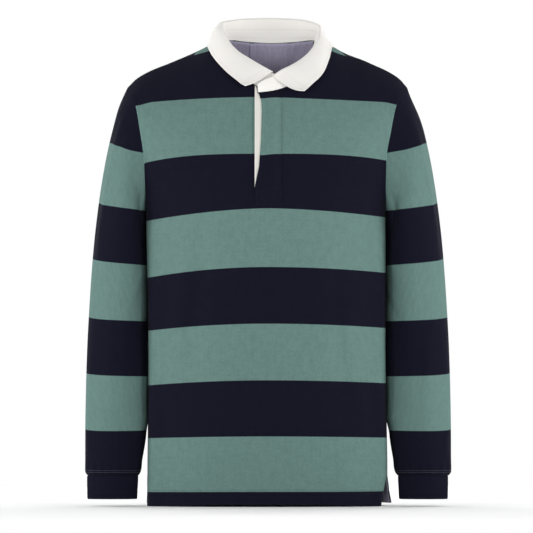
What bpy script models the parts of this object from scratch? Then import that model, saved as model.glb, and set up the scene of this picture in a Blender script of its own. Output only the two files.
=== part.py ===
"""Long-sleeve polo shirt, filled out as if worn: a hollow cotton shell.

Lengths in the tables are millimetres. +Z is up, the front faces -Y, +X is the
wearer's left. The origin is midway between the two high shoulder points.
"""
import math

import bmesh
import bpy
import numpy as np

MM = 0.001
WALL = 1.6            # jersey wall
THIN = 1.0            # facing, lining and tape wall
CUFF_WALL = 2.2       # rib cuff, folded double
COLLAR_WALL = 1.8     # twill stand and leaf
SEAM = 0.3            # space left at every seam
LAP = 0.35            # space under a piece that lies on another

SIDE_X = 195.5        # half width of the body
UNDERARM_Z = -290.0
TIP_Z = -77.8         # shoulder point
UNDERARM_S = 464.0    # cloth height of the underarm above the hem
GIRTH = 268.0         # cloth from centre to side seam at the underarm
TOP_S = 717.0         # cloth height given to the neck and shoulder row
NECK_U = 0.36         # share of the half panel's width taken by the neckline
NECK_X = 6.0          # the neck sits a little to the wearer's left
ARM_FRONT = 62.0      # depth of the armhole to the front
ARM_BACK = 70.0
VENT_S = 48.0         # height of the side vents

FRONT, BACK = -1.0, 1.0

# body rows: s = cloth height above the hem, zc and zs = height at centre and side,
# yf and yb = depth at centre front and back, power = squareness of the section
BODY = (
    # s      zc      zs      yf      yb     power
    (0.0,   -754.0, -754.0, -117.0, 121.0, 2.40),
    (144.0, -610.0, -610.0, -122.0, 123.0, 2.40),
    (284.0, -470.0, -470.0, -127.0, 122.5, 2.40),
    (394.0, -360.0, -360.0, -131.0, 122.0, 2.35),
    (464.0, -290.0, -290.0, -131.0, 124.5, 2.30),
    (473.0, -281.0, -281.0, -130.6, 125.0, 2.29),
    (503.0, -251.0, -250.0, -128.0, 126.4, 2.25),
    (551.0, -207.0, -196.0, -119.0, 126.6, 2.18),
    (595.0, -165.0, -150.0, -105.5, 121.0, 2.12),
    (637.0, -124.0, -107.0, -87.5, 107.0, 2.05),
)

# half neckline from centre front to the shoulder seam, and from centre back
NECK_FRONT = (
    # x      y      z
    (0.0, -67.5, -84.0), (20.0, -65.0, -79.5), (33.0, -60.0, -70.5), (45.0, -53.0, -58.0),
    (57.0, -43.0, -41.0), (66.0, -29.0, -22.0), (70.5, -14.0, -7.0),
)
NECK_BACK = (
    # x      y      z
    (0.0, 52.5, -5.5), (26.0, 50.0, -4.8), (50.0, 40.5, -2.8), (66.0, 23.0, -1.6),
    (71.5, 4.0, -3.0), (70.5, -14.0, -7.0),
)
# shoulder seam, neck end to shoulder point; it lies just in front of the crest
SHOULDER = (
    # x      y      z
    (70.5, -14.0, -7.0), (98.0, -11.0, -18.5), (122.0, -4.0, -27.5), (160.0, -0.5, -39.0),
    (190.5, 0.0, -50.0), (215.5, 0.0, -65.0), (227.5, 0.0, -77.8),
)
# armhole seam as seen from the front: height against half width
ARMHOLE = (
    # z      x
    (-290.0, 195.5), (-278.0, 195.7), (-250.0, 196.0), (-196.0, 198.1),
    (-157.0, 203.8), (-131.0, 207.4), (-107.0, 212.8), (-92.0, 219.3), (-77.8, 227.5),
)

# sleeve rings: s along the sleeve, outer and inner edge in x and z, depth to the
# front and back, and how far the ring has swung forward
SLEEVE = (
    # s     xo     zo      xi     zi      front back  cy
    (45.0,  245.0, -120.0, 199.0, -303.0, 66.0, 72.0, 0.0),
    (110.0, 264.2, -198.0, 198.2, -326.0, 69.0, 72.0, 0.0),
    (180.0, 276.0, -272.0, 197.6, -358.0, 67.0, 68.0, -1.0),
    (260.0, 284.1, -345.0, 197.2, -404.0, 61.0, 62.0, -4.0),
    (350.0, 289.8, -425.0, 197.1, -463.0, 53.0, 53.0, -8.0),
    (440.0, 294.0, -505.0, 197.1, -527.0, 45.0, 45.0, -12.0),
    (520.0, 296.0, -575.0, 197.1, -587.0, 39.5, 39.0, -16.0),
    (580.0, 296.9, -635.0, 198.8, -639.0, 35.5, 34.5, -18.5),
    (628.0, 297.0, -680.0, 205.0, -681.0, 32.5, 31.5, -20.0),
    (646.0, 296.6, -697.0, 207.8, -697.5, 31.0, 30.0, -21.0),
    (652.0, 293.0, -702.0, 210.6, -702.0, 28.0, 27.0, -21.0),
)
CUFF = (
    # s    xo     zo      xi     zi      front back  cy
    (0.0,  292.2, -702.4, 210.8, -702.4, 27.6, 26.6, -21.0),
    (20.0, 292.0, -722.0, 211.8, -722.0, 27.0, 26.0, -21.5),
    (43.5, 291.6, -746.0, 213.0, -746.0, 26.6, 25.6, -22.0),
)

# collar rows, x measured from the neck's own centre: fold line, then the leaf's free
# edge, with w running from the wearer's right end round the back to the left end
COLLAR = (
    # w      fold x  y      z      edge x  y      z
    (-1.00,   1.5, -67.5, -52.5,  -43.0, -86.0, -75.0),
    (-0.95,  -8.0, -66.0, -47.5,  -50.5, -79.0, -71.2),
    (-0.88, -19.4, -62.0, -41.0,  -60.0, -72.0, -64.0),
    (-0.79, -35.5, -54.5, -31.3,  -73.0, -61.0, -53.5),
    (-0.68, -54.8, -42.0, -18.5,  -87.5, -42.0, -38.5),
    (-0.57, -70.0, -25.0,  -1.6,  -98.5, -22.0, -24.0),
    (-0.46, -79.0,  -7.0,  16.0, -103.0,   0.0, -14.5),
    (-0.36, -80.0,  11.0,  25.8,  -99.0,  24.0, -14.0),
    (-0.26, -70.0,  30.0,  29.0,  -82.0,  49.0, -15.0),
    (-0.14, -42.0,  49.0,  32.5,  -47.0,  69.0, -14.5),
    (0.00,    0.0,  55.5,  33.5,    0.0,  75.0, -13.5),
    (0.14,   42.0,  49.0,  32.3,   47.0,  69.0, -14.5),
    (0.26,   68.0,  30.0,  28.0,   80.0,  49.0, -15.0),
    (0.36,   78.0,  11.0,  21.5,   96.0,  24.0, -15.0),
    (0.46,   78.0,  -7.0,   9.0,   98.5,   0.0, -17.0),
    (0.57,   71.8, -22.0,  -4.0,   97.0, -22.0, -29.0),
    (0.68,   60.6, -37.0, -20.0,   90.5, -42.0, -46.0),
    (0.79,   43.0, -52.0, -35.0,   79.5, -61.0, -60.0),
    (0.88,   27.0, -62.0, -44.0,   68.0, -72.0, -70.5),
    (0.95,   14.0, -68.5, -50.5,   59.0, -79.0, -78.5),
    (1.00,    1.5, -74.5, -59.5,   52.6, -86.0, -83.4),
)
# stand rows: top and bottom edge; the wearer's left end laps over the right one
STAND = (
    # w      top x   y      z      foot x  y      z
    (-1.00,  12.0, -60.0, -58.0,   12.0, -61.2, -79.5),
    (-0.94,   0.0, -62.6, -55.0,    0.0, -64.2, -80.5),
    (-0.87, -18.0, -61.4, -45.5,  -19.0, -63.6, -78.0),
    (-0.79, -35.8, -55.2, -34.4,  -36.5, -57.8, -66.5),
    (-0.68, -55.2, -42.6, -21.5,  -53.5, -46.3, -45.5),
    (-0.57, -70.5, -25.5,  -4.6,  -64.5, -31.0, -24.5),
    (-0.46, -79.5,  -7.3,  13.2,  -70.0, -13.5,  -6.2),
    (-0.36, -80.6,  11.2,  23.2,  -71.2,   5.0,  -2.4),
    (-0.26, -70.5,  31.0,  26.6,  -64.0,  25.5,  -0.9),
    (-0.14, -42.6,  50.1,  30.3,  -40.0,  44.5,  -3.0),
    (0.00,    0.0,  56.6,  31.35,   0.0,  52.0,  -4.7),
    (0.14,   42.6,  50.1,  30.1,   40.0,  44.5,  -3.0),
    (0.26,   68.6,  31.0,  25.6,   64.0,  25.5,  -0.9),
    (0.36,   78.8,  11.2,  19.0,   71.2,   5.0,  -2.4),
    (0.46,   77.6,  -7.1,   5.2,   70.0, -13.5,  -6.2),
    (0.57,   71.4, -22.2,  -8.0,   64.5, -31.5, -24.0),
    (0.68,   61.0, -37.7, -23.0,   53.5, -48.0, -45.0),
    (0.79,   43.3, -52.8, -38.2,   36.0, -61.5, -67.5),
    (0.86,   25.0, -62.0, -48.5,   22.0, -69.0, -77.5),
    (0.92,   2.0,  -70.2, -60.5,    2.0, -72.6, -83.5),
    (0.97,  -16.0, -71.4, -68.0,  -16.0, -72.6, -86.0),
    (1.00,  -23.0, -71.2, -73.0,  -22.6, -72.2, -86.6),
)

# placket: left edge of the striped flap by height, and its plain sizes
FLAP_EDGE = (
    # z       x
    (-272.0, -21.6), (-238.6, -21.2), (-222.0, -17.6), (-207.0, -14.6), (-165.0, -11.6),
    (-118.0, -10.2), (-99.5, -11.2), (-84.0, -17.0),
)
FLAP_RIGHT = 22.7
FLAP_FOOT = -271.0
FACING_LEFT = -21.6
FACING_RIGHT = 4.0
FACING_FOOT = -240.0

LINING_DEPTH = 96.0   # half-moon inside the back neck
TAPE_WIDTH = 11.0     # woven tape inside the wearer's left vent

COLOURS = {
    "green_jersey": ((104, 131, 126), 0.85),
    "navy_rib": ((24, 24, 36), 0.85),
    "white_twill": ((243, 241, 237), 0.8),
    "blue_chambray": ((122, 117, 140), 0.85),
}


def slopes(s, p):
    """Slopes for a curve through the rows that never overshoots them."""
    h = np.diff(s)
    d = np.diff(p, axis=0) / h.reshape((-1,) + (1,) * (p.ndim - 1))
    m = np.zeros_like(p)
    m[0], m[-1] = d[0], d[-1]
    for k in range(1, len(s) - 1):
        w1, w2 = 2 * h[k] + h[k - 1], h[k] + 2 * h[k - 1]
        same = d[k - 1] * d[k] > 0
        a = np.where(same, d[k - 1], 1.0)
        b = np.where(same, d[k], 1.0)
        m[k] = np.where(same, (w1 + w2) / (w1 / a + w2 / b), 0.0)
    return m


def along(s, p, m, t):
    """Cubic through rows p at s with slopes m, one place t for each column."""
    k = np.clip(np.searchsorted(s, t, side="right") - 1, 0, len(s) - 2)
    n = np.arange(len(t))
    h = (s[k + 1] - s[k])
    x = ((t - s[k]) / h)[:, None]
    h = h[:, None]
    return ((2 * x**3 - 3 * x**2 + 1) * p[k, n] + (x**3 - 2 * x**2 + x) * h * m[k, n]
            + (3 * x**2 - 2 * x**3) * p[k + 1, n] + (x**3 - x**2) * h * m[k + 1, n])


def path(table, f):
    """Points at shares f of a smooth curve through the rows of a table."""
    p = np.array(table, float)
    s = np.r_[0.0, np.cumsum(np.linalg.norm(np.diff(p, axis=0), axis=1))]
    m = slopes(s, p)
    f = np.asarray(f, float).ravel()
    rep = np.repeat(p[:, None, :], len(f), axis=1)
    return along(s, rep, np.repeat(m[:, None, :], len(f), axis=1), f * s[-1])


def table_curve(table, first, w):
    """Columns first to first+2 of a table whose column 0 is the place w."""
    a = np.array(table, float)
    s, p = a[:, 0], a[:, first:first + 3]
    m = slopes(s, p)
    w = np.asarray(w, float).ravel()
    rep = np.repeat(p[:, None, :], len(w), axis=1)
    return along(s, rep, np.repeat(m[:, None, :], len(w), axis=1), w)


def armhole_edge(z, side):
    """Half width and depth of the armhole seam at a height."""
    x = np.interp(z, [r[0] for r in ARMHOLE], [r[1] for r in ARMHOLE])
    mid, half = (UNDERARM_Z + TIP_Z) / 2, (TIP_Z - UNDERARM_Z) / 2
    depth = ARM_FRONT if side == FRONT else ARM_BACK
    return x, side * depth * math.sqrt(max(0.0, 1 - ((z - mid) / half) ** 2))


def row_points(row, side, a):
    """One body row: quarter of a soft rectangle, evenly spaced in cloth length."""
    s, zc, zs, yf, yb, power = row
    yc = yf if side == FRONT else yb
    xs, ys = (SIDE_X, 0.0) if zs <= UNDERARM_Z else armhole_edge(zs, side)
    g = 2.0 / power
    e = math.acos(max(0.0, ys / yc) ** (1 / g))
    phi = np.linspace(0, e, 121)
    x = xs * (np.sin(phi) / math.sin(e)) ** g
    fall = (1 - np.clip(np.cos(phi), 0, 1) ** g) / (1 - max(0.0, math.cos(e)) ** g)
    y = yc + (ys - yc) * fall
    d = np.r_[0.0, np.cumsum(np.hypot(np.diff(x), np.diff(y)))]
    cut = GIRTH - d[-1] if zs > UNDERARM_Z else 0.0
    place = a * (d[-1] + cut) - cut * a ** np.clip(0.7 * GIRTH / max(cut, 1.0), 1.0, 8.0)
    return np.stack([np.interp(place, d, x), np.interp(place, d, y), zc + (zs - zc) * a * a],
                    axis=1)


def top_points(side, a):
    """Neckline and shoulder seam as the last row of a panel."""
    neck = NECK_FRONT if side == FRONT else NECK_BACK
    f = np.clip(a / NECK_U, 0, 1)
    g = np.clip((a - NECK_U) / (1 - NECK_U), 0, 1)
    return np.where((a < NECK_U)[:, None], path(neck, f), path(SHOULDER, g))


def panel(side, u, t):
    """Outer face of the front or back: u from side to side, t up the cloth."""
    u, t = np.broadcast_arrays(np.asarray(u, float), np.asarray(t, float))
    shape = u.shape
    u, t = u.ravel(), t.ravel()
    a, sign = np.abs(u), np.where(u < 0, -1.0, 1.0)
    rows = [row_points(r, side, a) for r in BODY] + [top_points(side, a)]
    p = np.array(rows)
    p[:, :, 0] *= sign
    p[-1, :, 0] += NECK_X * np.clip((1 - a) / (1 - NECK_U), 0, 1)
    s = np.array([r[0] for r in BODY] + [TOP_S])
    m = slopes(s, p)
    if side == FRONT:
        m[-1, :, 1] *= 1.15
        m[-1, :, 2] *= 0.72
    else:
        m[-1, :, 1] *= 1.25
        m[-1, :, 2] *= np.interp(a, [0, 0.2, 0.3, NECK_U, 0.42, 0.48, 0.56, 0.64, 0.74, 1.0],
                                 [0.75, 0.55, 0.1, -0.35, -1.0, -1.0, -0.65, -0.3, 0.0, 0.3])
    q = along(s, p, m, t)
    low = np.clip((VENT_S - t) / VENT_S, 0, 1) ** 1.2
    rim = np.clip((a - 0.82) / 0.18, 0, 1) ** 2
    big = np.where(u > 0, 1.0, 0.45)
    if side == FRONT:
        q[:, 0] -= sign * 6.0 * low * rim * big
        q[:, 1] -= 2.0 * low * rim
    else:
        rim = np.clip((a - 0.90) / 0.10, 0, 1) ** 2
        q[:, 0] += sign * 5.0 * low * rim * big
        q[:, 1] += 1.0 * low * rim
    return q.reshape(shape + (3,))


def unit(v):
    return v / np.maximum(np.linalg.norm(v, axis=-1, keepdims=True), 1e-9)


def face_dir(f, a, b, ha, hb, a_lim, b_lim, way):
    """Outward unit normal of a surface f(a, b)."""
    a, b = np.broadcast_arrays(np.asarray(a, float), np.asarray(b, float))
    a0, a1 = np.clip(a - ha, *a_lim), np.clip(a + ha, *a_lim)
    b0, b1 = np.clip(b - hb, *b_lim), np.clip(b + hb, *b_lim)
    return unit(np.cross(f(a1, b) - f(a0, b), f(a, b1) - f(a, b0)) * way)


def panel_dir(side, u, t):
    way = 1.0 if side == FRONT else -1.0
    return face_dir(lambda a, b: panel(side, a, b), u, t, 0.012, 3.0, (-1, 1), (0, TOP_S), way)


def seam_ring(theta):
    """Armhole seam of the wearer's left side: angle 0 at the shoulder, 90 in front."""
    mid, half = (UNDERARM_Z + TIP_Z) / 2, (TIP_Z - UNDERARM_Z) / 2
    t = np.r_[np.linspace(UNDERARM_S, 475, 60), np.linspace(475.5, TOP_S, 160)]
    out = np.zeros(theta.shape + (3,))
    for side in (FRONT, BACK):
        e = panel(side, np.ones_like(t), t)
        ang = np.arccos(np.clip((e[:, 2] - mid) / half, -1, 1))[::-1]
        e = e[::-1]
        a = np.where(theta > math.pi, 2 * math.pi - theta, theta)
        got = np.stack([np.interp(a, ang, e[:, k]) for k in range(3)], axis=-1)
        use = (theta <= math.pi) if side == FRONT else (theta > math.pi)
        out[use] = got[use]
    return out


def ring(row, theta):
    """One sleeve or cuff ring from its table row."""
    s, xo, zo, xi, zi, front, back, cy = row
    c, w = np.cos(theta), np.sin(theta)
    y = cy - np.where(w > 0, front, back) * w
    return np.stack([(xo + xi) / 2 + (xo - xi) / 2 * c, y, (zo + zi) / 2 + (zo - zi) / 2 * c],
                    axis=-1)


def sleeve(theta, t):
    """Outer face of the wearer's left sleeve."""
    theta, t = np.broadcast_arrays(np.asarray(theta, float), np.asarray(t, float))
    shape = theta.shape
    theta, t = theta.ravel(), t.ravel()
    rows = [seam_ring(theta)] + [ring(r, theta) for r in SLEEVE]
    s = np.array([0.0] + [r[0] for r in SLEEVE])
    p = np.array(rows)
    return along(s, p, slopes(s, p), t).reshape(shape + (3,))


SLEEVE_END = SLEEVE[-1][0]


def sleeve_dir(theta, t):
    theta = np.asarray(theta, float)

    def f(a, b):
        return sleeve(np.mod(a, 2 * math.pi), b)

    a, b = np.broadcast_arrays(theta, np.asarray(t, float))
    b0, b1 = np.clip(b - 2.0, 0, SLEEVE_END), np.clip(b + 2.0, 0, SLEEVE_END)
    return unit(np.cross(f(a + 0.03, b) - f(a - 0.03, b), f(a, b1) - f(a, b0)))


def cuff(theta, t):
    theta, t = np.broadcast_arrays(np.asarray(theta, float), np.asarray(t, float))
    shape = theta.shape
    theta, t = theta.ravel(), t.ravel()
    s = np.array([r[0] for r in CUFF])
    p = np.array([ring(r, theta) for r in CUFF])
    return along(s, p, slopes(s, p), t).reshape(shape + (3,))


def mesh_object(name, outer, inner, colour, wrap=False):
    """A closed cloth wall: a grid laid on the outer points, extruded to the inner."""
    rows, cols = outer.shape[:2]
    bm = bmesh.new()
    bmesh.ops.create_grid(bm, x_segments=cols - 1, y_segments=rows - 1, size=1.0)
    col = bm.verts.layers.int.new("col")
    row = bm.verts.layers.int.new("row")
    for v in bm.verts:
        v[col] = round((v.co.x + 1) / 2 * (cols - 1))
        v[row] = round((v.co.y + 1) / 2 * (rows - 1))
    for v in bm.verts:
        v.co = outer[v[row], v[col]] * MM
    if wrap:
        bmesh.ops.remove_doubles(bm, verts=bm.verts, dist=0.00001)
    got = bmesh.ops.extrude_face_region(bm, geom=bm.faces[:], use_keep_orig=True)
    for v in got["geom"]:
        if isinstance(v, bmesh.types.BMVert):
            v.co = inner[v[row], v[col]] * MM
    bmesh.ops.recalc_face_normals(bm, faces=bm.faces)
    mesh = bpy.data.meshes.new(name)
    bm.to_mesh(mesh)
    bm.free()
    ob = bpy.data.objects.new(name, mesh)
    shirt.objects.link(ob)
    mesh.materials.append(materials[colour])
    return ob


def theta_of_edge(side, t):
    """Sleeve angle that meets a panel's armhole edge at cloth height t."""
    mid, half = (UNDERARM_Z + TIP_Z) / 2, (TIP_Z - UNDERARM_Z) / 2
    e = panel(side, np.ones_like(t), t)
    a = np.arccos(np.clip((e[..., 2] - mid) / half, -1, 1))
    return a if side == FRONT else 2 * math.pi - a


def mirrored(v):
    return v * np.array([-1.0, 1.0, 1.0])


def panel_wall(side, us, ts):
    """Outer and inner points of a body panel, mitred where it meets its neighbours."""
    u, t = np.meshgrid(us, ts)
    p = panel(side, u, t)
    n = panel_dir(side, u, t)
    other = panel_dir(-side, u, t)
    under = unit(sleeve_dir(np.array([math.pi]), np.array([0.0]))[0] + np.array([1.0, 0, 0]))
    for c in (0, len(us) - 1):
        e = abs(us[c])
        for r, tt in enumerate(ts):
            if e < 1:
                continue
            if tt <= UNDERARM_S:
                if tt >= VENT_S:
                    n[r, c] = unit(n[r, c] + other[r, c])
                p[r, c, 1] += side * SEAM / 2
                if tt == UNDERARM_S:
                    n[r, c] = under if us[c] > 0 else mirrored(under)
            elif tt < TOP_S:
                th = theta_of_edge(side, np.array([tt]))
                sl = sleeve_dir(th, np.array([0.0]))[0]
                n[r, c] = unit(n[r, c] + (sl if us[c] > 0 else mirrored(sl)))
    up = unit(p[-1] - p[-2])
    for c, uu in enumerate(us):
        if abs(uu) >= NECK_U:
            n[-1, c] = unit(n[-1, c] + other[-1, c])
            p[-1, c] -= up[c] * SEAM / 2
    tip = sleeve_dir(np.array([0.0]), np.array([0.0]))[0]
    for c in (0, len(us) - 1):
        side_n = n[-1, c] if us[c] > 0 else mirrored(n[-1, c])
        n[-1, c] = unit(side_n + tip) * np.array([np.sign(us[c]), 1.0, 1.0])
    return p, p - n * WALL


def on_rows(points, us, ts, u, t):
    """Place on a built grid of points, so that a piece laid on it follows its faces."""
    i = np.clip(np.searchsorted(us, u, side="right") - 1, 0, len(us) - 2)
    j = np.clip(np.searchsorted(ts, t, side="right") - 1, 0, len(ts) - 2)
    a = ((u - us[i]) / (us[i + 1] - us[i]))[..., None]
    b = ((t - ts[j]) / (ts[j + 1] - ts[j]))[..., None]
    return ((1 - a) * (1 - b) * points[j, i] + a * (1 - b) * points[j, i + 1]
            + (1 - a) * b * points[j + 1, i] + a * b * points[j + 1, i + 1])


def place_at(x, z, top):
    """Panel place (u, t) on the front whose points have the wanted x and z."""
    t = np.interp(z, [-754, -610, -470, -360, -290, -251, -207, -165, -124, top],
                  [0, 144, 284, 394, 464, 503, 551, 595, 637, TOP_S])
    u = x / 250.0
    for _ in range(25):
        p = panel(FRONT, u, t)
        u = np.clip(u + (x - p[..., 0]) / 260.0, -0.95, 0.95)
        t = np.clip(t + (z - p[..., 2]) * 0.8, 0, TOP_S)
    return u, t


def linear(c):
    c = c / 255.0
    return c / 12.92 if c <= 0.04045 else ((c + 0.055) / 1.055) ** 2.4


for ob in list(bpy.data.objects):
    bpy.data.objects.remove(ob, do_unlink=True)

shirt = bpy.data.collections.new("long_sleeve_polo_shirt")
bpy.context.scene.collection.children.link(shirt)
materials = {}
for name, (rgb, rough) in COLOURS.items():
    mat = bpy.data.materials.new(name)
    mat.use_nodes = True
    bsdf = mat.node_tree.nodes["Principled BSDF"]
    bsdf.inputs["Base Color"].default_value = tuple(linear(c) for c in rgb) + (1.0,)
    bsdf.inputs["Roughness"].default_value = rough
    mat.diffuse_color = tuple(linear(c) for c in rgb) + (1.0,)
    materials[name] = mat

# front and back panels
front_u = np.r_[np.linspace(-1, -NECK_U, 9), np.linspace(-NECK_U, NECK_U, 11)[1:-1],
                np.linspace(NECK_U, 1, 9)]
front_t = np.r_[0.0, 14.0, 30.0, VENT_S, np.linspace(VENT_S, UNDERARM_S, 10)[1:],
                473.0, 486.0, 503.0, 527.0, 551.0, 573.0, 595.0, 616.0, 637.0, 657.0, 677.0,
                697.0, TOP_S]
back_u = front_u
back_t = np.r_[front_t[front_t < 640], np.linspace(637, TOP_S, 9)[1:]]
front_out, front_in = panel_wall(FRONT, front_u, front_t)
back_out, back_in = panel_wall(BACK, back_u, back_t)
mesh_object("front", front_out, front_in, "green_jersey")
mesh_object("back", back_out, back_in, "green_jersey")

# sleeves and cuffs
arm_f, arm_b = front_t[front_t >= UNDERARM_S], back_t[back_t >= UNDERARM_S]
theta = np.r_[theta_of_edge(FRONT, arm_f[::-1]), theta_of_edge(BACK, arm_b[1:])]
theta[0], theta[len(arm_f) - 1], theta[-1] = 0.0, math.pi, 2 * math.pi
steps = np.r_[0.0, 22.0, 45.0, 78.0, np.linspace(110, 580, 12), 604.0, 628.0, 646.0, SLEEVE_END]
th, st = np.meshgrid(theta, steps)
speed = np.linalg.norm(sleeve(th[0], np.full_like(th[0], 1.0)) - sleeve(th[0], 0 * th[0]), axis=1)
st[0] = (SEAM + 0.5 * np.exp(-((theta - math.pi) / 0.5) ** 2)) / np.maximum(speed, 0.05)
sl_out = sleeve(th, st)
sl_n = sleeve_dir(th, st)
seam_n = np.concatenate([panel_dir(FRONT, np.ones(len(arm_f)), arm_f[::-1]),
                         panel_dir(BACK, np.ones(len(arm_b)), arm_b)[1:]])
seam_n[len(arm_f) - 1] = (1.0, 0.0, 0.0)
seam_n[0] = seam_n[-1] = unit(seam_n[0] + seam_n[-1])
sl_n[0] = unit(sl_n[0] + seam_n)
sl_n[:, -1] = sl_n[:, 0]
sl_out[:, -1] = sl_out[:, 0]
sl_in = sl_out - sl_n * WALL
mesh_object("sleeve_left", sl_out, sl_in, "green_jersey", wrap=True)
mesh_object("sleeve_right", mirrored(sl_out), mirrored(sl_in), "green_jersey", wrap=True)

th, st = np.meshgrid(theta, [0.0, 14.0, 29.0, 43.5])
cf_out = cuff(th, st)
c0 = np.array([(CUFF[0][1] + CUFF[0][3]) / 2, CUFF[0][7], 0])
shrink = cf_out.copy()
middle = cf_out.mean(axis=1, keepdims=True)
flat = unit((cf_out - middle) * np.array([1 / 40.0**2, 1 / 27.0**2, 0.0]))
cf_in = cf_out - flat * CUFF_WALL
cf_out[:, -1], cf_in[:, -1] = cf_out[:, 0], cf_in[:, 0]
mesh_object("cuff_left", cf_out, cf_in, "navy_rib", wrap=True)
mesh_object("cuff_right", mirrored(cf_out), mirrored(cf_in), "navy_rib", wrap=True)

# collar stand: from the neck seam up to just under the fold
shift = np.array([NECK_X, 0.0, 0.0])
w = np.array([r[0] for r in STAND])
w = np.sort(np.r_[w, (w[1:] + w[:-1]) / 2])
foot = table_curve(STAND, 4, w) + shift
neckline = np.concatenate([panel(s, np.linspace(-NECK_U, NECK_U, 240), TOP_S)
                           for s in (FRONT, BACK)])
for k in np.where(np.abs(w) < 0.82)[0]:
    near = int(np.argmin(((neckline - foot[k])[:, :2] ** 2).sum(1)))
    foot[k, 2] = max(foot[k, 2], neckline[near, 2] + 0.5)
    foot[k, 2] += 0.8 * math.exp(-((w[k] + 0.78) / 0.05) ** 2)
head = table_curve(STAND, 1, w) + shift
v = np.array([0.0, 0.35, 0.7, 1.0])[:, None, None]
st_out = foot[None] * (1 - v) + head[None] * v
du = np.gradient(st_out, axis=1)
dv = np.gradient(st_out, axis=0)
st_n = unit(np.cross(dv, du))
st_out += st_n * 1.2 * np.sin(math.pi * v)
st_in = st_out - st_n * COLLAR_WALL
mesh_object("collar_stand", st_out, st_in, "white_twill")

# collar leaf: over the fold and down to its free edge on the shoulders
fine_u, fine_t = np.linspace(-1, 1, 161), np.linspace(540, TOP_S, 90)
fu, ft = np.meshgrid(fine_u, fine_t)
cloud = np.concatenate([panel(s, fu, ft).reshape(-1, 3) for s in (FRONT, BACK)])
cloud_n = np.concatenate([panel_dir(s, fu, ft).reshape(-1, 3) for s in (FRONT, BACK)])


def clear_of_body(p, least):
    """Move points out until they stand clear of the body panels."""
    q = p.copy()
    for k in range(len(q)):
        j = int(np.argmin(((cloud - q[k]) ** 2).sum(1)))
        short = least - float(np.dot(q[k] - cloud[j], cloud_n[j]))
        if short > 0:
            q[k] = q[k] + cloud_n[j] * short
    return q


w = np.array([r[0] for r in COLLAR])
w = np.sort(np.r_[w, (w[1:] + w[:-1]) / 2])
fold = table_curve(COLLAR, 1, w) + shift
edge = clear_of_body(table_curve(COLLAR, 4, w) + shift, 4.2)
away = unit((edge - fold) * np.array([1.0, 1.0, 0.0]))
up = np.array([0.0, 0.0, 1.0])
leaf = [fold, fold + away * 2.0 + up * 0.1]
near_end = np.exp(-((1 - np.abs(w)) / 0.07) ** 2)[:, None]
full = (1 + 0.6 * np.exp(-((w + 0.42) / 0.14) ** 2) - 0.85 * near_end[:, 0])[:, None]
drop = np.where(w < 0, 3.0, 6.5)[:, None] * near_end
for f, lift in ((0.08, 3.9), (0.30, 5.2), (0.55, 4.0), (0.80, 1.8)):
    lift = lift * full
    mid = fold * (1 - f) + edge * f + away * lift + up * (0.25 * lift - 4 * f * (1 - f) * drop)
    leaf.append(clear_of_body(mid, 4.2))
leaf.append(edge)
lf_out = np.array(leaf)
du = np.gradient(lf_out, axis=1)
dv = np.gradient(lf_out, axis=0)
lf_n = unit(np.cross(du, dv))
lf_n[0] = up
lf_n[1] = unit(up + away * 0.7)
lf_in = lf_out - lf_n * COLLAR_WALL
mesh_object("collar_leaf", lf_out, lf_in, "white_twill")

# placket: white facing on the front, striped flap over it
def laid_on_front(x, z, out):
    u, t = place_at(x, z, -84.0)
    p = on_rows(front_out, front_u, front_t, u, t)
    return p + unit(p - on_rows(front_in, front_u, front_t, u, t)) * out


def facing_head(x):
    return np.interp(x, [-21.6, -20.0, -18.0, 4.0], [-78.5, -79.5, -89.5, -88.0])


def placket_grid(left, right, foot, head, cols):
    lines = np.interp(front_t, front_t, front_out[:, len(front_u) // 2, 2])
    lines = lines[(lines > foot + 4) & (lines < -92)]
    g = (np.r_[foot, lines, -88.0] - foot)[:, None] / (-88.0 - foot)
    f = np.linspace(0, 1, cols)[None, :]
    xl = left(foot + (head(-20.0) - foot) * g)
    x = xl * (1 - f) + right * f
    z = foot + (head(x) - foot) * g
    return x, z


def flap_head(x):
    return np.interp(x, [-21.6, -10.0, 8.0, 22.7], [-90.0, -89.0, -87.2, -83.8])


x, z = placket_grid(lambda z: np.full_like(z, FACING_LEFT), FACING_RIGHT, FACING_FOOT,
                    facing_head, 8)
mesh_object("placket_facing", laid_on_front(x, z, LAP + 0.25 + THIN), laid_on_front(x, z, LAP + 0.25),
            "white_twill")
base = LAP * 2 + 0.25 + THIN
x, z = placket_grid(lambda z: np.interp(z, [r[0] for r in FLAP_EDGE], [r[1] for r in FLAP_EDGE]),
                    FLAP_RIGHT, FLAP_FOOT, flap_head, 7)
mesh_object("placket_flap", laid_on_front(x, z, base + WALL), laid_on_front(x, z, base),
            "green_jersey")

# half-moon lining inside the back neck
f = np.linspace(-1, 1, 15)[None, :]
g = np.linspace(0, 1, 8)[:, None]
u = f * NECK_U * 0.93 * np.sqrt(1 - (0.96 * g) ** 2)
t = TOP_S - 2.5 - g * LINING_DEPTH + 0 * f
off = (0.5 + 2.1 * np.abs(f) ** 2.5 + 0 * g)[..., None]
inside = on_rows(back_in, back_u, back_t, u, t)
toward = unit(inside - on_rows(back_out, back_u, back_t, u, t))
mesh_object("neck_lining", inside + toward * off, inside + toward * (off + THIN), "blue_chambray")

# woven tape inside the back edge of the wearer's left vent
f = np.linspace(0, 1, 3)[None, :]
t = np.array([1.0, 14.0, 30.0, VENT_S - 1.0])[:, None] + 0 * f
u = (1 - 0.004) - (1 - f) * TAPE_WIDTH / 262.0 + 0 * t
off = 0.6
inside = on_rows(back_in, back_u, back_t, u, t)
toward = unit(inside - on_rows(back_out, back_u, back_t, u, t))
mesh_object("vent_tape", inside + toward * off, inside + toward * (off + THIN), "blue_chambray")
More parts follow.
